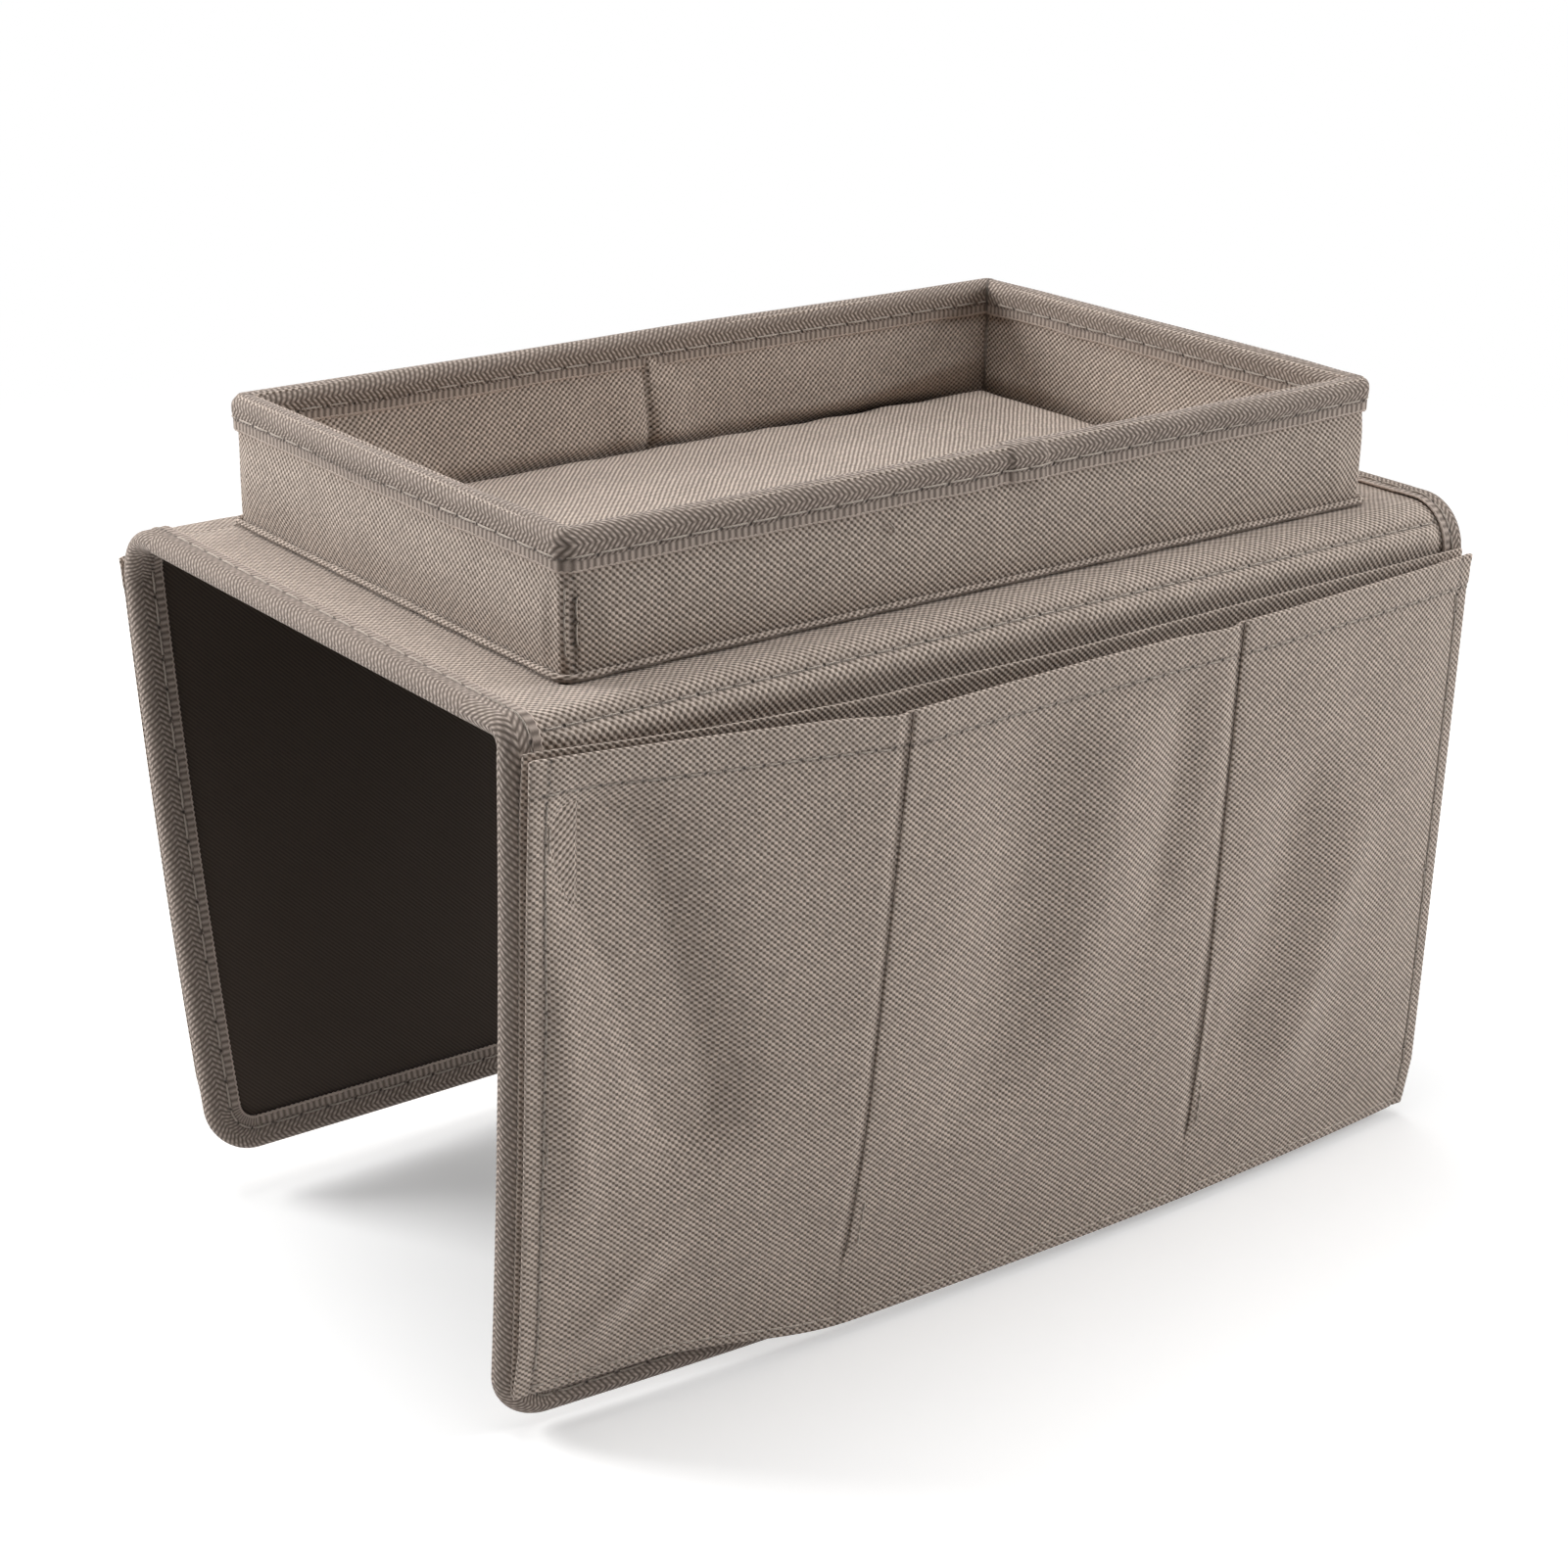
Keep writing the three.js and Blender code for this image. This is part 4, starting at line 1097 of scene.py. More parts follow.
def lining_swell(run, level, _):
    """The lining puffs away from the walls, most beside its seam and towards the far right corner. It isn't
    held at the corners, so the distance from them goes unused."""
    share = (level - LINING_LOW[2]) / (LINING_HIGH[2] - LINING_LOW[2])
    rear = smooth_share(run, 3, 30) * smooth_share(run, 268, 240)
    puff = 0.5 + 0.5 * soft_noise(run, run * 0 + level * 0.6, 21, LINING_SEED)
    far_right = smooth_share(run, 3, 20) * smooth_share(run, 100, 55)
    out = LINING_OUT + LINING_PUFF * puff + LINING_CORNER_PUFF * far_right
    out = out + roll(np.abs(run - LINING_SEAM), 8, 6.0, LINING_SEAM_PUFF)
    before_seam = LINING_SEAM - np.minimum(run, LINING_SEAM)
    lap = LINING_LAP * (run < LINING_SEAM) * np.exp(-before_seam / LINING_LAP_FADE)
    crest = LINING_CREST + LINING_CREST_RISE * smooth_share(run, 70, 5) * (run < 80)
    above = np.maximum(0, share - crest) / (LINING_FLAT_FROM - crest)
    profile = smooth_share(share, 0.0, crest) * np.maximum(0, 1 - above)
    free = smooth_share(share, 0.0, 0.2) * smooth_share(share, 1.0, 0.74)
    sewn = 1 - roll(run, LINING_SEAM, 1.5)
    return -out * sewn * profile - (lap + LINING_LEAN * rear * (1 - share)) * free - CLEARANCE


# The floor's cushion: how far it stays off the lining, how high it is at its edge, and how soon it rises
CUSHION_CLEARANCE = 1.2
CUSHION_EDGE = 0.9
CUSHION_RISE = 2.3
CUSHION_RISE_FADE = 3.2
CUSHION_CROWN = 2.2
CUSHION_FLAT = 0.3
CUSHION_GRID = (150, 96)
GATHER_STRETCH = 0.22
GATHER_SPACING = 7.5
GATHER_FADE = 9
WELT_RADIUS = 0.95
WELT_OUT = 1.3


def floor_cushion():
    """The padded floor: its cloth rises from the foot of the walls and lies in soft puffs and creases."""
    reach = LINING_HIGH[:2] - LINING_CLOTH - GAP - CUSHION_CLEARANCE
    x, y = (np.linspace(-half, half, count) for half, count in zip(reach, CUSHION_GRID))
    u, v = np.meshgrid(x, y, indexing="ij")
    to_end, to_side = reach[0] - np.abs(u), reach[1] - np.abs(v)
    edge = np.minimum(to_end, to_side)
    fall_x, fall_y = (
        1 - np.maximum(0, (np.abs(place) / half - CUSHION_FLAT) / (1 - CUSHION_FLAT)) ** 2
        for place, half in ((u, reach[0]), (v, reach[1]))
    )
    puffs = sum(height * soft_noise(u, v, spacing, seed) for height, spacing, seed in CUSHION_PUFFS)
    gathers = soft_noise(u, v * GATHER_STRETCH, GATHER_SPACING, 33) * np.exp(-to_side / GATHER_FADE)
    gathers = gathers + soft_noise(u * GATHER_STRETCH, v, GATHER_SPACING, 34) * np.exp(-to_end / GATHER_FADE)
    crease = 0.3 * soft_noise(u * 0.35 + v * 0.1, v + 0.2 * u, 9, 35) * np.exp(-edge / 30) + 0.7 * gathers
    rise = 1 - np.exp(-edge / CUSHION_RISE_FADE)
    swell = CUSHION_EDGE + rise * (CUSHION_RISE + CUSHION_CROWN * fall_x * fall_y + puffs + crease)
    high, low = (stacked(u, v, TRAY_LOW[2] + level) for level in (swell, 0.0))
    return shell(high, low, stacked(u, v), rim=3)


def base_welt():
    """The narrow roll of cloth sewn round the foot of the walls."""
    stations, run = outline_stations(2.0, 8)
    turns = np.linspace(0, 2 * math.pi, 11)[:-1]
    radius = WELT_RADIUS + 0.12 * soft_noise(run, run * 0, 7, 41)
    rings = []
    for turn in turns:
        out = WELT_OUT + radius * math.cos(turn)
        x, y = outline_points(stations, out, TRAY_CORNER + out)
        rings.append(stacked(x, y, TRAY_LOW[2] + WELT_RADIUS + radius * math.sin(turn)))
    flat = stacked(run[:, None], turns)
    return tube(np.stack(rings, axis=1), flat, wrap=True)


# Pockets
FOLD_RUN_ON = 20.0
FOLD_FADE = (16, 12)
RELIEF_TOP = 24
RELIEF_FOOT = 30

# The pocket fronts. They stand off the back, with a belly below the mouth. Beside a pleat the mouth dips, the
# cloth stands proud in a sweep, and its last part is tucked in under the next length.
PLEAT_STAND_OFF = 1.8
POCKET_BELLY = 2.8
POCKET_BELLY_FROM = 0.6
MOUTH_DIP = 0.9
MOUTH_DIP_FADE = 16
PROUD_FADE = 0.7
PROUD_SWEEP = 1.5
PLEAT_TUCK = 0.84
PLEAT_TUCK_MORE = 0.4
PLEAT_TUCK_FADE = 14
PLEAT_TUCK_FROM = 0.95
SWELL_FALL = 0.8
SWELL_ROUND = 3
FREE_FROM_END = 0.1
FREE_FROM_PLEAT = 0.03
FREE_FROM_FOOT = 0.86


def ridge(along, drop, path, width):
    """1 on a fold that follows the path, fading to its sides and its two ends."""
    points = np.array(path, float)
    starts = run_along(*points.T)
    lengths = np.diff(starts)
    nearest = np.full(along.shape, 1e9)
    reached = np.zeros(along.shape)
    for index, (first, second) in enumerate(zip(points[:-1], points[1:])):
        ahead = (second - first) / lengths[index]
        low = -FOLD_RUN_ON * (index == 0)
        high = lengths[index] + FOLD_RUN_ON * (index == len(lengths) - 1)
        t = np.clip((along - first[0]) * ahead[0] + (drop - first[1]) * ahead[1], low, high)
        gap = np.hypot(along - first[0] - t * ahead[0], drop - first[1] - t * ahead[1])
        better = gap < nearest
        nearest = np.where(better, gap, nearest)
        reached = np.where(better, starts[index] + t, reached)
    before, inside = FOLD_FADE
    ends = smooth_share(reached, -before, inside) * smooth_share(starts[-1] - reached, -before, inside)
    return roll(nearest, 0, width) * ends


def mouth_drop(hang, along):
    """How far down the pocket's mouth lies."""
    return np.interp(along, (-POCKET_END, PLEATS[0][0], PLEATS[1][0], POCKET_END), hang["mouth_drop"])


def pocket_relief(hang, along, drop):
    """How far folds, creases and uneven cloth move the pocket front out."""
    total = np.zeros(np.broadcast(along, drop).shape)
    for path, width, height in hang["folds"]:
        total += height * ridge(along, drop, path, width)
    bottom, top = pocket_foot(hang, along), mouth_drop(hang, along)
    above_foot = smooth_share(drop, bottom, bottom - RELIEF_FOOT)
    total += above_foot * 0.28 * soft_noise(along, drop * 0.5, 19, hang["seed"] + 7)
    return total * smooth_share(drop, top, top + RELIEF_TOP)


def pleat_at(index, share):
    mouth, foot = PLEATS[index]
    return mouth + (foot - mouth) * share


def pleat_joined(share):
    """0 where a pleat is open and 1 below, where it is sewn down."""
    return smooth_share(share, PLEAT_END - 0.02, PLEAT_END + 0.02)


def pocket_edges(order, share):
    left = -POCKET_END + 0 * share if order == 0 else pleat_at(order - 1, share)
    right = POCKET_END + 0 * share if order == LAST else pleat_at(order, share)
    return left, right


def pocket_surface(hang, order, across, share, past=0.0):
    """Along, drop and height of the inner face of one length of the pocket front, at a share of its width and
    of its depth. past runs on from its right edge under the next length."""
    left, right = pocket_edges(order, share)
    along = left + (right - left) * across + past
    top = mouth_drop(hang, along)
    dip = smooth_share(across, 0.76, 0.95) * (1 - 0.5 * smooth_share(across, 0.97, 1.0)) * (order < LAST)
    dip = MOUTH_DIP * dip * np.exp(-share * MOUTH_DIP_FADE)
    drop = top + dip + (pocket_foot(hang, along) - top) * share
    upper = np.maximum(0, 1 - share / PLEAT_END) ** PROUD_FADE
    stand = PLEAT_STAND_OFF + POCKET_BELLY * smooth_share(share, 1.0, POCKET_BELLY_FROM)
    left_more = end_stand_off(hang, 0, share) - stand if order == 0 else hang["proud"][order - 1] * upper
    right_more = end_stand_off(hang, 1, share) - stand if order == LAST else hang["proud"][order] * upper
    flat = stand + left_more * (1 - across) ** 2 + right_more * across**PROUD_SWEEP
    if order < LAST:
        joined = pleat_joined(share)
        inward = smooth_share(across, PLEAT_TUCK_FROM, 1.0) * (1 - joined)
        inward = inward + smooth_share(past, 0.0, 2.0) * joined
        flat = flat - (PLEAT_TUCK + PLEAT_TUCK_MORE * np.exp(-share * PLEAT_TUCK_FADE)) * inward
    high, low = hang["swell"][order], hang["low_swell"][order]
    amount = low * (1 - share) ** SWELL_FALL - (low - high) * np.exp(-share / hang["settle"][order])
    bulge = (1 - np.abs(2 * across - 1) ** SWELL_ROUND) * amount
    left_free = smooth_share(across, 0, FREE_FROM_END if order == 0 else FREE_FROM_PLEAT)
    right_free = smooth_share(across, 1, 1 - (FREE_FROM_END if order == LAST else FREE_FROM_PLEAT))
    free = left_free * right_free * smooth_share(share, 1, FREE_FROM_FOOT)
    stand_off = flat + bulge + pocket_relief(hang, along, drop) * free
    return along, drop, POCKET_BACK_FACE + np.maximum(stand_off, np.minimum(flat, GAP))


# The hem and the sewn edges of a pocket front, as rolls across their distance from the edge or the row
HEM_END = (1.3, 0.4)
HEM_LIP = (0.0, 1.6, 0.3)
HEM_GROOVE = (0.0, 0.6, -0.4)
HEM_PUCKER = (0.0, 2.6, 0.14)
END_LIP = (0.0, 1.8, 0.25)

# Where a length is sewn over the one before it: how far it reaches over, and how near the edge it does so
LAP_REACH = 1.5
LAP_NEAR = 3.0
LAP_FILL_NEAR = 6.0
LAP_FILL = 0.04
LAP_EDGE = 0.03


def pocket_front(hang, order):
    """One length of the pocket front, with its rolled and stitched hem."""
    across = np.concatenate([
        np.linspace(0, 0.06, 6)[:-1], np.linspace(0.06, 0.9, 60), np.linspace(0.9, 1, 14)[1:],
    ])
    past = np.zeros_like(across)
    if order < LAST:
        across = np.concatenate([across, np.ones(4)])
        past = np.concatenate([past, np.linspace(0, PLEAT_UNDERLAP, 5)[1:]])
    share = shares_from(0.09, 30, 84)
    u, v = np.meshgrid(across, share, indexing="ij")
    p = np.repeat(past[:, None], len(share), axis=1)
    along, drop, height = pocket_surface(hang, order, u, v, p)
    below = drop - mouth_drop(hang, along)
    from_row = below - HEM_SEAM
    raised = HEM_RAISE * smooth_share(from_row, *HEM_END) + roll(below, *HEM_LIP)
    puckers = np.cos(along * 2 * math.pi / STITCH_PITCH)
    raised = raised + roll(from_row, *HEM_GROOVE) + puckers * roll(from_row, *HEM_PUCKER)
    if order in (0, LAST):
        from_end = along * (-1 if order == 0 else 1) - POCKET_END
        raised = raised + roll(from_end + SIDE_SEAM, *HEM_GROOVE) * (from_row > 0) + roll(from_end, *END_LIP)
    thickness = POCKET_CLOTH + raised * (1 - smooth_share(p, 0.0, 1.5))
    inner_lift = 0.0
    if order > 0:
        joined = pleat_joined(v)
        near = along - pocket_edges(order, v)[0]
        along = along - LAP_REACH * joined * smooth_share(near, LAP_NEAR, 0.0)
        thickness = thickness + LAP_FILL * joined * smooth_share(near, LAP_FILL_NEAR, 0.0)
        inner_lift = (thickness - LAP_EDGE) * joined * smooth_share(near, LAP_NEAR, 0.2)
    outer = flap_place(hang, along, drop, height + thickness)
    inner = flap_place(hang, along, drop, height + inner_lift)
    return shell(outer, inner, stacked(along, below), rim=3)


def pocket_back(hang):
    """The cloth behind the pockets. Its rolled upper edge stands off the flap behind the mouth."""
    columns = np.linspace(-POCKET_END, POCKET_END, 130)
    shares = shares_from(0.04, 9, 44)
    along, share = np.meshgrid(columns, shares, indexing="ij")
    top = mouth_drop(hang, along) - POCKET_BACK_RISE
    below = (pocket_foot(hang, along) - top) * share
    drop = top + below
    lift = np.interp(along, *zip(*hang["back_lift"])) * np.maximum(0, 1 - below / 26) ** 2
    free = (1 - share) * smooth_share(below, 0, 30)
    uneven = 0.16 * (1 + soft_noise(along, drop, 18, hang["seed"] + 9)) * free
    height = POCKET_BACK_BASE + lift + uneven
    outer = flap_place(hang, along, drop, height + POCKET_BACK + roll(below, 1.2, 1.5, 0.32))
    inner = flap_place(hang, along, drop, height - CLEARANCE)
    return shell(outer, inner, stacked(along, below), rim=3)


def gusset(hang, end):
    """The side wall at one end of the pockets, folded inwards: a short ply from the flap to the crease and a
    longer one from there to the pocket front's edge."""
    sign = -1 if end == 0 else 1
    top = float(mouth_drop(hang, sign * POCKET_END))
    depth = float(pocket_foot(hang, np.array(sign * POCKET_END))) - top
    shares = np.linspace(GAP / depth, 1 - GUSSET_END_RISE / depth, 60)
    share, step = np.meshgrid(shares, np.linspace(-1, 1, 25), indexing="ij")
    low = GUSSET_FLAP_GAP + GUSSET_CLOTH / 2
    high = end_stand_off(hang, end, share) - GUSSET_FRONT_GAP - GUSSET_CLOTH / 2
    outer_end = np.where(step < 0, GUSSET_ROOT, 0.5)
    inward = GUSSET_CREASE - (GUSSET_CREASE - outer_end) * np.sqrt(step**2 + 0.003) * 0.998
    bend = step * np.sqrt(np.abs(step)) * 0.35 + step * 0.65
    off = (low + high) / 2 + (high - low) / 2 * bend
    drop = top + depth * share + GUSSET_SAG * (1 - np.abs(step)) * np.exp(-share * 12)
    centre = flap_place(hang, sign * (POCKET_END - inward), drop, POCKET_BACK_FACE + off)
    normal = unit(np.cross(np.gradient(centre, axis=0), np.gradient(centre, axis=1)))
    flat = stacked(drop, step * (GUSSET_CREASE - GUSSET_ROOT / 2))
    half = GUSSET_CLOTH * 0.46
    return shell(centre + normal * half, centre - normal * half, flat)


# Stitches. Rings are the places of a stitch's rings along it, lift how far each stands off the cloth and
# width how thick it is there. The share is how much of the pitch a stitch covers.
STITCH_RINGS = np.array([0.0, 0.12, 0.35, 0.65, 0.88, 1.0])
STITCH_LIFT = np.array([-0.28, 0.05, 0.18, 0.18, 0.05, -0.28])
STITCH_WIDTH = np.array([0.55, 0.95, 1.0, 1.0, 0.95, 0.55])
STITCH_SIDES = 7
STITCH_RADIUS = 0.27
STITCH_SHARE = 0.9
STITCH_SINK = 0.05
HEM_ROW_ENDS = (0.02, 0.985)
FOOT_ROW = 0.985
PLEAT_ROW = 0.022
BACK_TACKS = ((17.0, 30.0), (98.0, 112.0))
BACK_TACK_BESIDE = 0.9
WALL_ROWS = (1.2, -1.6)
WALL_ROW_ENDS = (2.5, 9.5)
WALL_ROW_PITCH = 5.0
TAIL_START = (-38.0, 1.3, 27.5)
TAIL_REACH = (2.6, 0.5, 3.6)
TAIL_LENGTH = 4.4


def stitch_row(points, normals, run, pitch):
    """Thread stitches on a path, one to each pitch of its run: each rises out of the cloth, lies on it and
    dips in again. normals is one for each point, or one for all."""
    normals = np.broadcast_to(normals, points.shape)
    if run[0] > run[-1]:
        points, normals, run = points[::-1], normals[::-1], run[::-1]
    first, last = math.ceil(run[0] / pitch), math.floor(run[-1] / pitch)
    starts = (np.arange(first, last) + (1 - STITCH_SHARE) / 2) * pitch
    places = starts[:, None] + STITCH_RINGS[None] * STITCH_SHARE * pitch
    centre, normal = (
        stacked(*(np.interp(places, run, axis) for axis in line.T)) for line in (points, normals)
    )
    normal = unit(normal)
    beside = np.cross(normal, unit(np.gradient(centre, axis=1)))
    centre = centre + normal * STITCH_LIFT[None, :, None]
    turns = np.arange(STITCH_SIDES) * 2 * math.pi / STITCH_SIDES
    around = normal[:, :, None] * np.cos(turns)[:, None] + beside[:, :, None] * np.sin(turns)[:, None]
    rings = centre[:, :, None] + around * (STITCH_RADIUS * STITCH_WIDTH)[:, None, None]
    flat = stacked((STITCH_RINGS * pitch)[:, None], turns)
    return [tube(ring, flat) for ring in rings]


def join_stitches(bodies):
    """One mesh of all stitches of a seam. Every stitch is a closed body, turned outwards by itself."""
    points, faces, flats, count = [], [], [], 0
    for body_points, body_faces, body_flats in bodies:
        points.append(body_points)
        faces.append(outward(body_points, body_faces) + count)
        flats.append(body_flats)
        count += len(body_points)
    return np.concatenate(points), np.concatenate(faces), np.concatenate(flats)


def flap_row(place, hang, along, drop, height, run, pitch=STITCH_PITCH):
    points, normals = place(hang, along, drop, height), normal_of(place, hang, along, drop, height)
    return stitch_row(points, normals, run, pitch)


def shoulder_stitches(hang):
    along = np.linspace(-HALF_LENGTH + 11, HALF_LENGTH - 11, 200)
    drop = SHOULDER_SEAM + 0 * along
    return flap_row(saddle, hang, along, drop, COVER_TOP + cover_bulge(hang, along, drop), along)


def tape_seam_back(bound):
    """How far from the outside of the fold the row of stitches lies, and how far it stands off the middle."""
    outer, _, tip = tape_section(bound)
    half = len(outer) // 2
    return [float(np.interp(TAPE_SEAM, tip[:half], outer[:half, k])) for k in (1, 0)]


def flap_tape_stitches(hang):
    """The row that holds the tape's outer leg, and the one that shows on its inner leg."""
    run = run_along(*flap_tape_edge(hang, 0.0))
    back, out = tape_seam_back(COVER_TOP)
    along, drop = flap_tape_edge(hang, back)
    outer = flap_row(saddle, hang, along, drop, flap_tape_height(out, drop), run, TAPE_PITCH)
    low = flap_tape_height(-out, drop)
    keep = drop > 1.0
    points, normals = saddle(hang, along, drop, low), -normal_of(saddle, hang, along, drop, low)
    return outer + stitch_row(points[keep], normals[keep], run[keep], TAPE_PITCH)


def end_tape_stitches(side):
    """A row on the upper and one on the lower leg of the tape over one end of the top."""
    rows = []
    y = np.linspace(-REAR_SEAM, REAR_SEAM, 120)
    back, out = tape_seam_back(END_BOUND)
    x = drawn_in(side * (HALF_LENGTH - back))
    for sign in (-1, 1):
        points = stacked(x, y, TAPE_TOP / 2 + sign * out)
        rows += stitch_row(points, (0, 0, sign), y + REAR_SEAM, TAPE_PITCH)
    return rows


def rim_stitches():
    """A row on the outer and one on the inner leg of the rim's tape."""
    stations, run = outline_stations(2.0, 6)
    angle = stations[:, 2]
    face = stacked(np.cos(angle), np.sin(angle), 0.0)
    back, out = tape_seam_back(WALL_STACK)
    rows = []
    for sign in (-1, 1):
        beyond = sign * (out + rim_lap(stations)) - WALL_STACK / 2
        x, y = outline_points(stations, beyond, np.maximum(TRAY_CORNER + beyond, LEAST_RADIUS))
        points = stacked(x, y, RIM_TOP - back)
        rows += stitch_row(points, face * sign, run, TAPE_PITCH)
    return rows


def wall_stitches():
    """The rows beside the upright seam near the tray's left front corner, and the tail of a thread."""
    stations, run = outline_stations(1.0, 6)
    x, y = outline_points(stations, 0.25)
    z = np.linspace(TRAY_LOW[2] + WALL_ROW_ENDS[0], TRAY_HIGH[2] - WALL_ROW_ENDS[1], 60)
    swell = np.array([outer_swell(run, level, from_corner(stations)) for level in z])
    rows = []
    for beside in WALL_ROWS:
        at = WALL_SEAM + beside
        out = np.array([np.interp(at, run, line) for line in swell])
        points = stacked(np.interp(at, run, x) - out, np.interp(at, run, y), z)
        rows += stitch_row(points, (-1, 0, 0), z, WALL_ROW_PITCH + beside)
    share = np.linspace(0, 1, 20)
    left, out, up = TAIL_START
    y = -TRAY_HIGH[1] - out - TAIL_REACH[1] * np.sin(share * 4)
    path = stacked(left + TAIL_REACH[0] * share, y, up - TAIL_REACH[2] * share)
    return rows + stitch_row(path, (0, -1, 0), TAIL_LENGTH * share, TAIL_LENGTH)


def pocket_stitches(hang):
    """Rows along the hem and the foot of each length and down both sides, with tacks beside those, and short
    rows that hold the foot of each pleat."""
    rows = []
    across = np.linspace(*HEM_ROW_ENDS, 90)
    for order in range(LAST + 1):
        along = pocket_surface(hang, order, across, 0.05 + 0 * across)[0]
        hem_row = HEM_SEAM / (pocket_foot(hang, along) - mouth_drop(hang, along))
        for share in (hem_row, FOOT_ROW + 0 * across):
            along, drop, height = pocket_surface(hang, order, across, share)
            rows += flap_row(flap_place, hang, along, drop, height + POCKET_CLOTH - STITCH_SINK, along)
    for order, sign in ((0, -1), (LAST, 1)):
        share = np.linspace(0.05, 0.97, 120)
        left, right = pocket_edges(order, share)
        across = (sign * (POCKET_END - SIDE_SEAM) - left) / (right - left)
        along, drop, height = pocket_surface(hang, order, across, share)
        run = drop - mouth_drop(hang, along)
        rows += flap_row(flap_place, hang, along, drop, height + POCKET_CLOTH - 2 * STITCH_SINK, run)
        for low, high in BACK_TACKS:
            kept = (drop > low) & (drop < high)
            tack = along[kept] - sign * BACK_TACK_BESIDE, drop[kept], height[kept] + POCKET_CLOTH
            rows += flap_row(flap_place, hang, *tack, run[kept], TACK_PITCH)
    for order in range(1, LAST + 1):
        share = np.linspace(PLEAT_END - 0.1, PLEAT_END - 0.005, 40)
        along, drop, height = pocket_surface(hang, order, PLEAT_ROW + 0 * share, share)
        rows += flap_row(flap_place, hang, along, drop, height + POCKET_CLOTH, drop, TACK_PITCH)
    return rows


# Putting the pieces in place. A carrier is the name of the body that a piece rides on, or a flap, whose pieces
# are built bent over its fold and only have their place baked into their mesh.
def carry(made, carrier):
    if isinstance(carrier, dict):
        follow(made, carrier)
    else:
        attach(made, carrier)


def place_piece(name, carrier, mesh, material, slot, *nodes):
    """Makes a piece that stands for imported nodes."""
    made = make_object(name, *mesh, material, slot)
    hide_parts(*nodes)
    carry(made, carrier)
    return made


def place_stitches(name, carrier, bodies):
    carry(make_object(name, *join_stitches(bodies), THREAD_MATERIAL, "tape"), carrier)


def dress_top():
    body = "organiser_top"
    liner = place_piece("top_liner_cloth", body, top_liner_cloth(), LINER_MATERIAL, "liner", "top_liner")
    for side, word in ((-1, "left"), (1, "right")):
        name = f"{word}_end_tape"
        tape = place_piece(name, body, end_tape(side), TAPE_MATERIAL, "tape", f"{word}_end_binding")
        place_stitches(f"{name}_stitches", body, end_tape_stitches(side))


def dress_tray():
    body = "organiser_top"
    outer_mesh = wall_cloth(TRAY_LOW, TRAY_HIGH, CLOTH, TRAY_CORNER, outer_swell)
    outer = place_piece("tray_outer_cloth", body, outer_mesh, WALL_MATERIAL, "cloth", "tray_outer_cover")
    lining_mesh = wall_cloth(LINING_LOW, LINING_HIGH, LINING_CLOTH, LINING_CORNER, lining_swell)
    lining = place_piece("tray_lining_cloth", body, lining_mesh, LINING_MATERIAL, "cloth", "tray_lining")
    rim = place_piece("tray_rim_tape", body, rim_tape(), TAPE_MATERIAL, "tape", "tray_rim_binding")
    floor_nodes = ("tray_floor_cover", "tray_floor_pad")
    floor = place_piece("tray_floor_cushion", body, floor_cushion(), FLOOR_CLOTH, "cloth", *floor_nodes)
    place_piece("tray_welt_roll", body, base_welt(), CLOTH_MATERIAL, "cloth", "tray_base_welt")
    place_stitches("tray_rim_stitches", body, rim_stitches())
    place_stitches("tray_wall_stitches", body, wall_stitches())


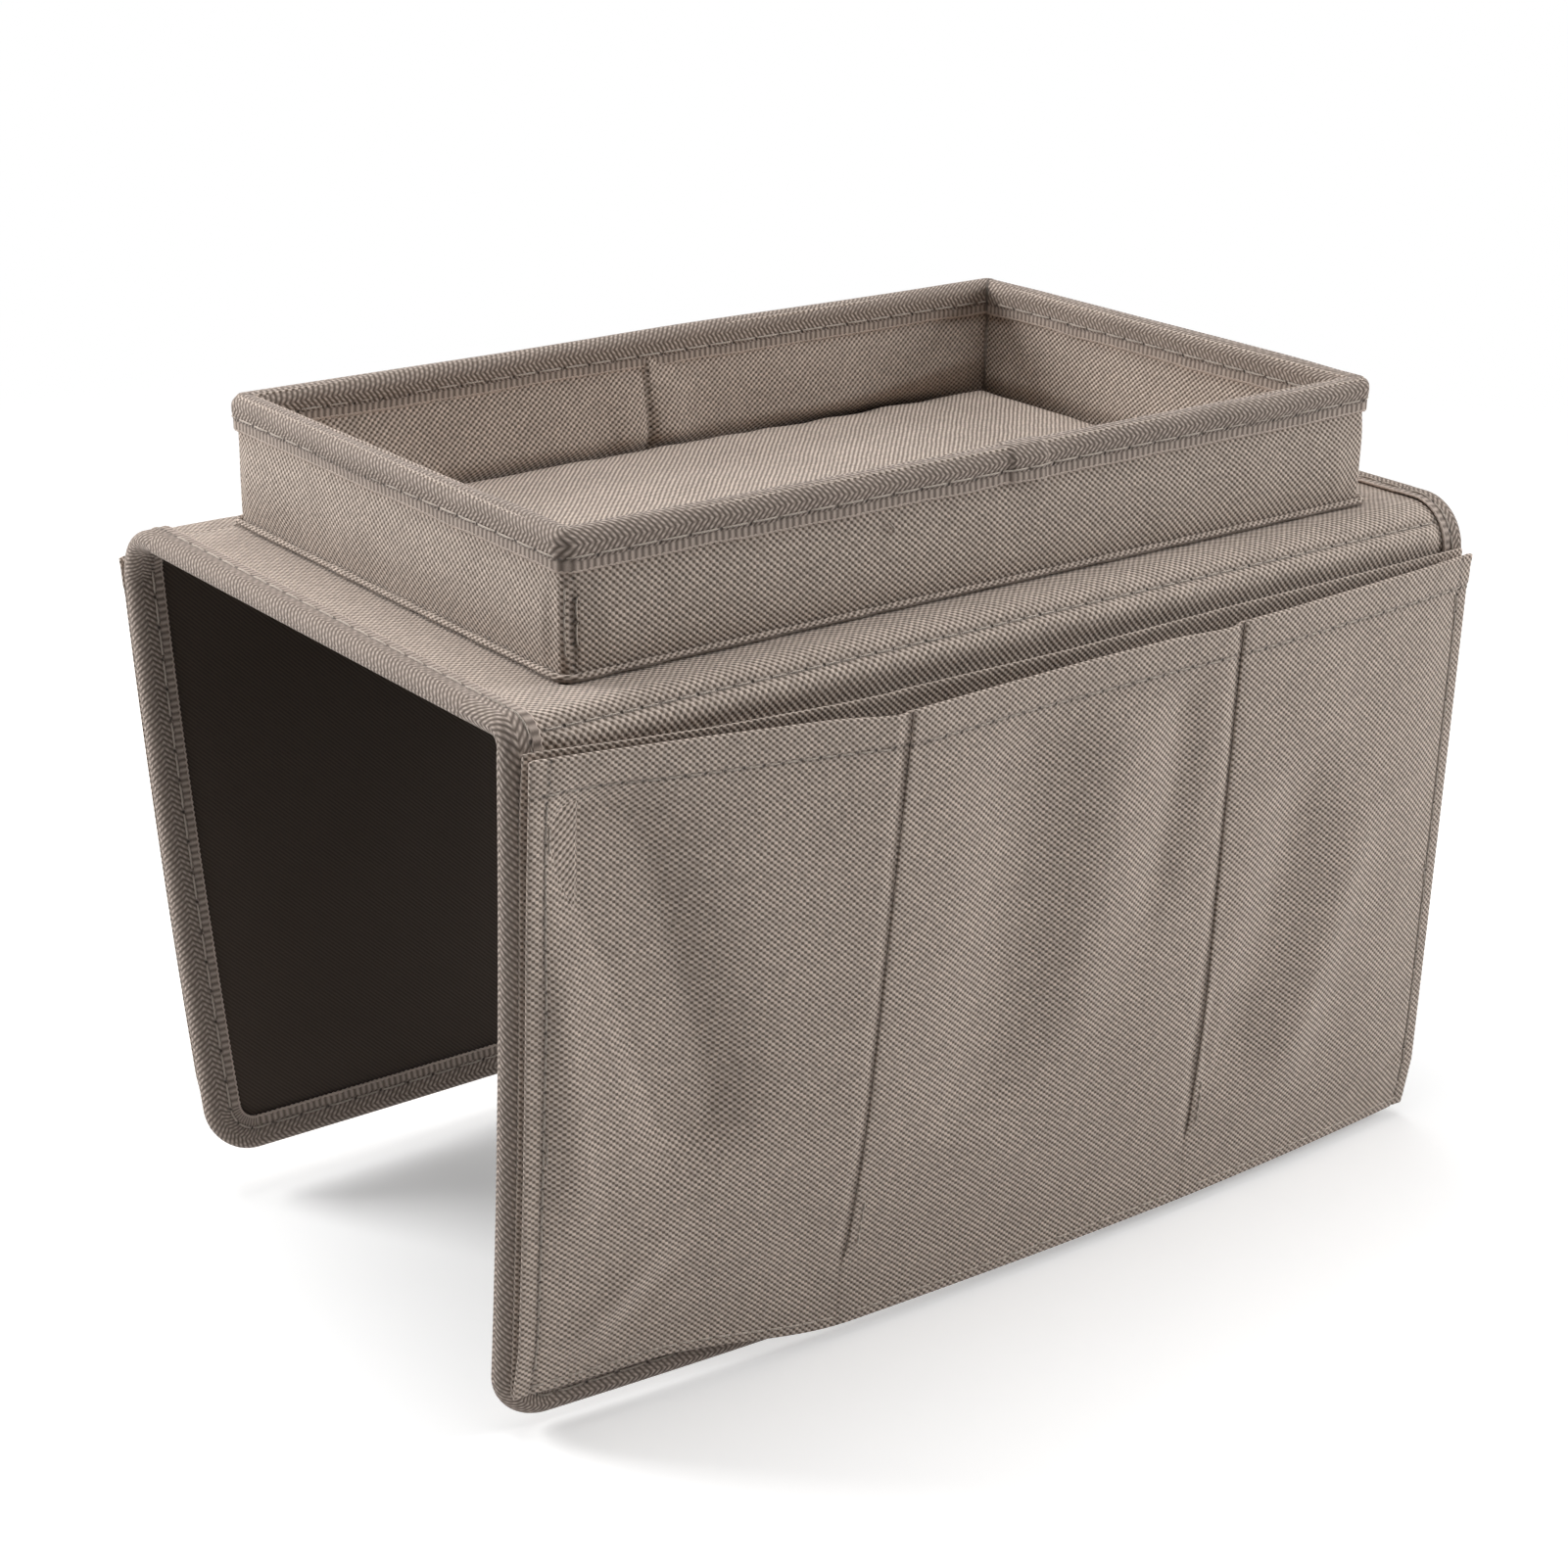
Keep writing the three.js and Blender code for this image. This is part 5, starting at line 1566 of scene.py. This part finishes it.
def dress_flap(hang):
    """The cloth, felt and tape of one flap, built bent over its fold."""
    name, length = hang["name"], hang["length"]
    top_reach = HALF_WIDTH + REAR_SEAM if name == "front" else HALF_WIDTH - REAR_SEAM
    nodes = [f"{name}_fold_strip", f"{name}_flap_cover"] + (["top_cover"] if name == "front" else [])
    mesh = cover_cloth(hang, top_reach)
    cover = place_piece(f"{name}_cover_cloth", hang, mesh, COVER_MATERIAL, "cloth", *nodes)
    (top_reach + length) * MM
    mesh, node = liner_cloth(hang), f"{name}_flap_liner"
    liner = place_piece(f"{name}_liner_cloth", hang, mesh, LINER_MATERIAL, "liner", node)
    (BEND_TOP + length - LINER_INSET) * MM
    mesh, node = felt_sheet(hang), f"{name}_flap_interlining"
    felt = place_piece(f"{name}_felt", hang, mesh, FELT_MATERIAL, "felt", node)
    felt_size = (2 * (HALF_LENGTH - FELT_INSET) * MM, (length - FELT_INSET - FELT_TOP) * MM)
    mesh, node = flap_tape(hang), f"{name}_flap_binding"
    tape = place_piece(f"{name}_flap_tape", hang, mesh, TAPE_MATERIAL, "tape", node)
    place_stitches(f"{name}_flap_tape_stitches", hang, flap_tape_stitches(hang))
    place_stitches(f"{name}_shoulder_stitches", hang, shoulder_stitches(hang))


def dress_pockets(hang):
    """The pockets of one flap, which swing with it as a whole."""
    name, body = f"{hang['name']}_pocket", hang["body"]
    back = place_piece(f"{name}_back_cloth", body, pocket_back(hang), CLOTH_MATERIAL, "cloth", f"{name}_back")
    for order, word in enumerate(("left", "middle", "right")):
        mesh, node = pocket_front(hang, order), f"{name}_{word}"
        front = place_piece(f"{node}_cloth", body, mesh, POCKET_MATERIAL, "cloth", node)
        left, right = pocket_edges(order, 0.5)
        (right - left + 8) * MM
    for end, word in enumerate(("left", "right")):
        mesh, node = gusset(hang, end), f"{name}_{word}_gusset"
        side = place_piece(f"{node}_cloth", body, mesh, CLOTH_MATERIAL, "cloth", node)
    place_stitches(f"{name}_stitches", body, pocket_stitches(hang))


def dress_inner_parts():
    """The boards inside the cloth stay as packed and get their own finish."""
    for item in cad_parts.values():
        if not item.hide_render:
            item.data.materials.clear()
            item.data.materials.append(BOARD_MATERIAL)


make_camera()
make_world()
for lamp in LAMPS:
    make_lamp(*lamp)
make_floor()
dress_top()
dress_tray()
for flap in (FRONT, REAR):
    dress_flap(flap)
    dress_pockets(flap)
dress_inner_parts()
bpy.context.scene.view_settings.view_transform = "Standard"
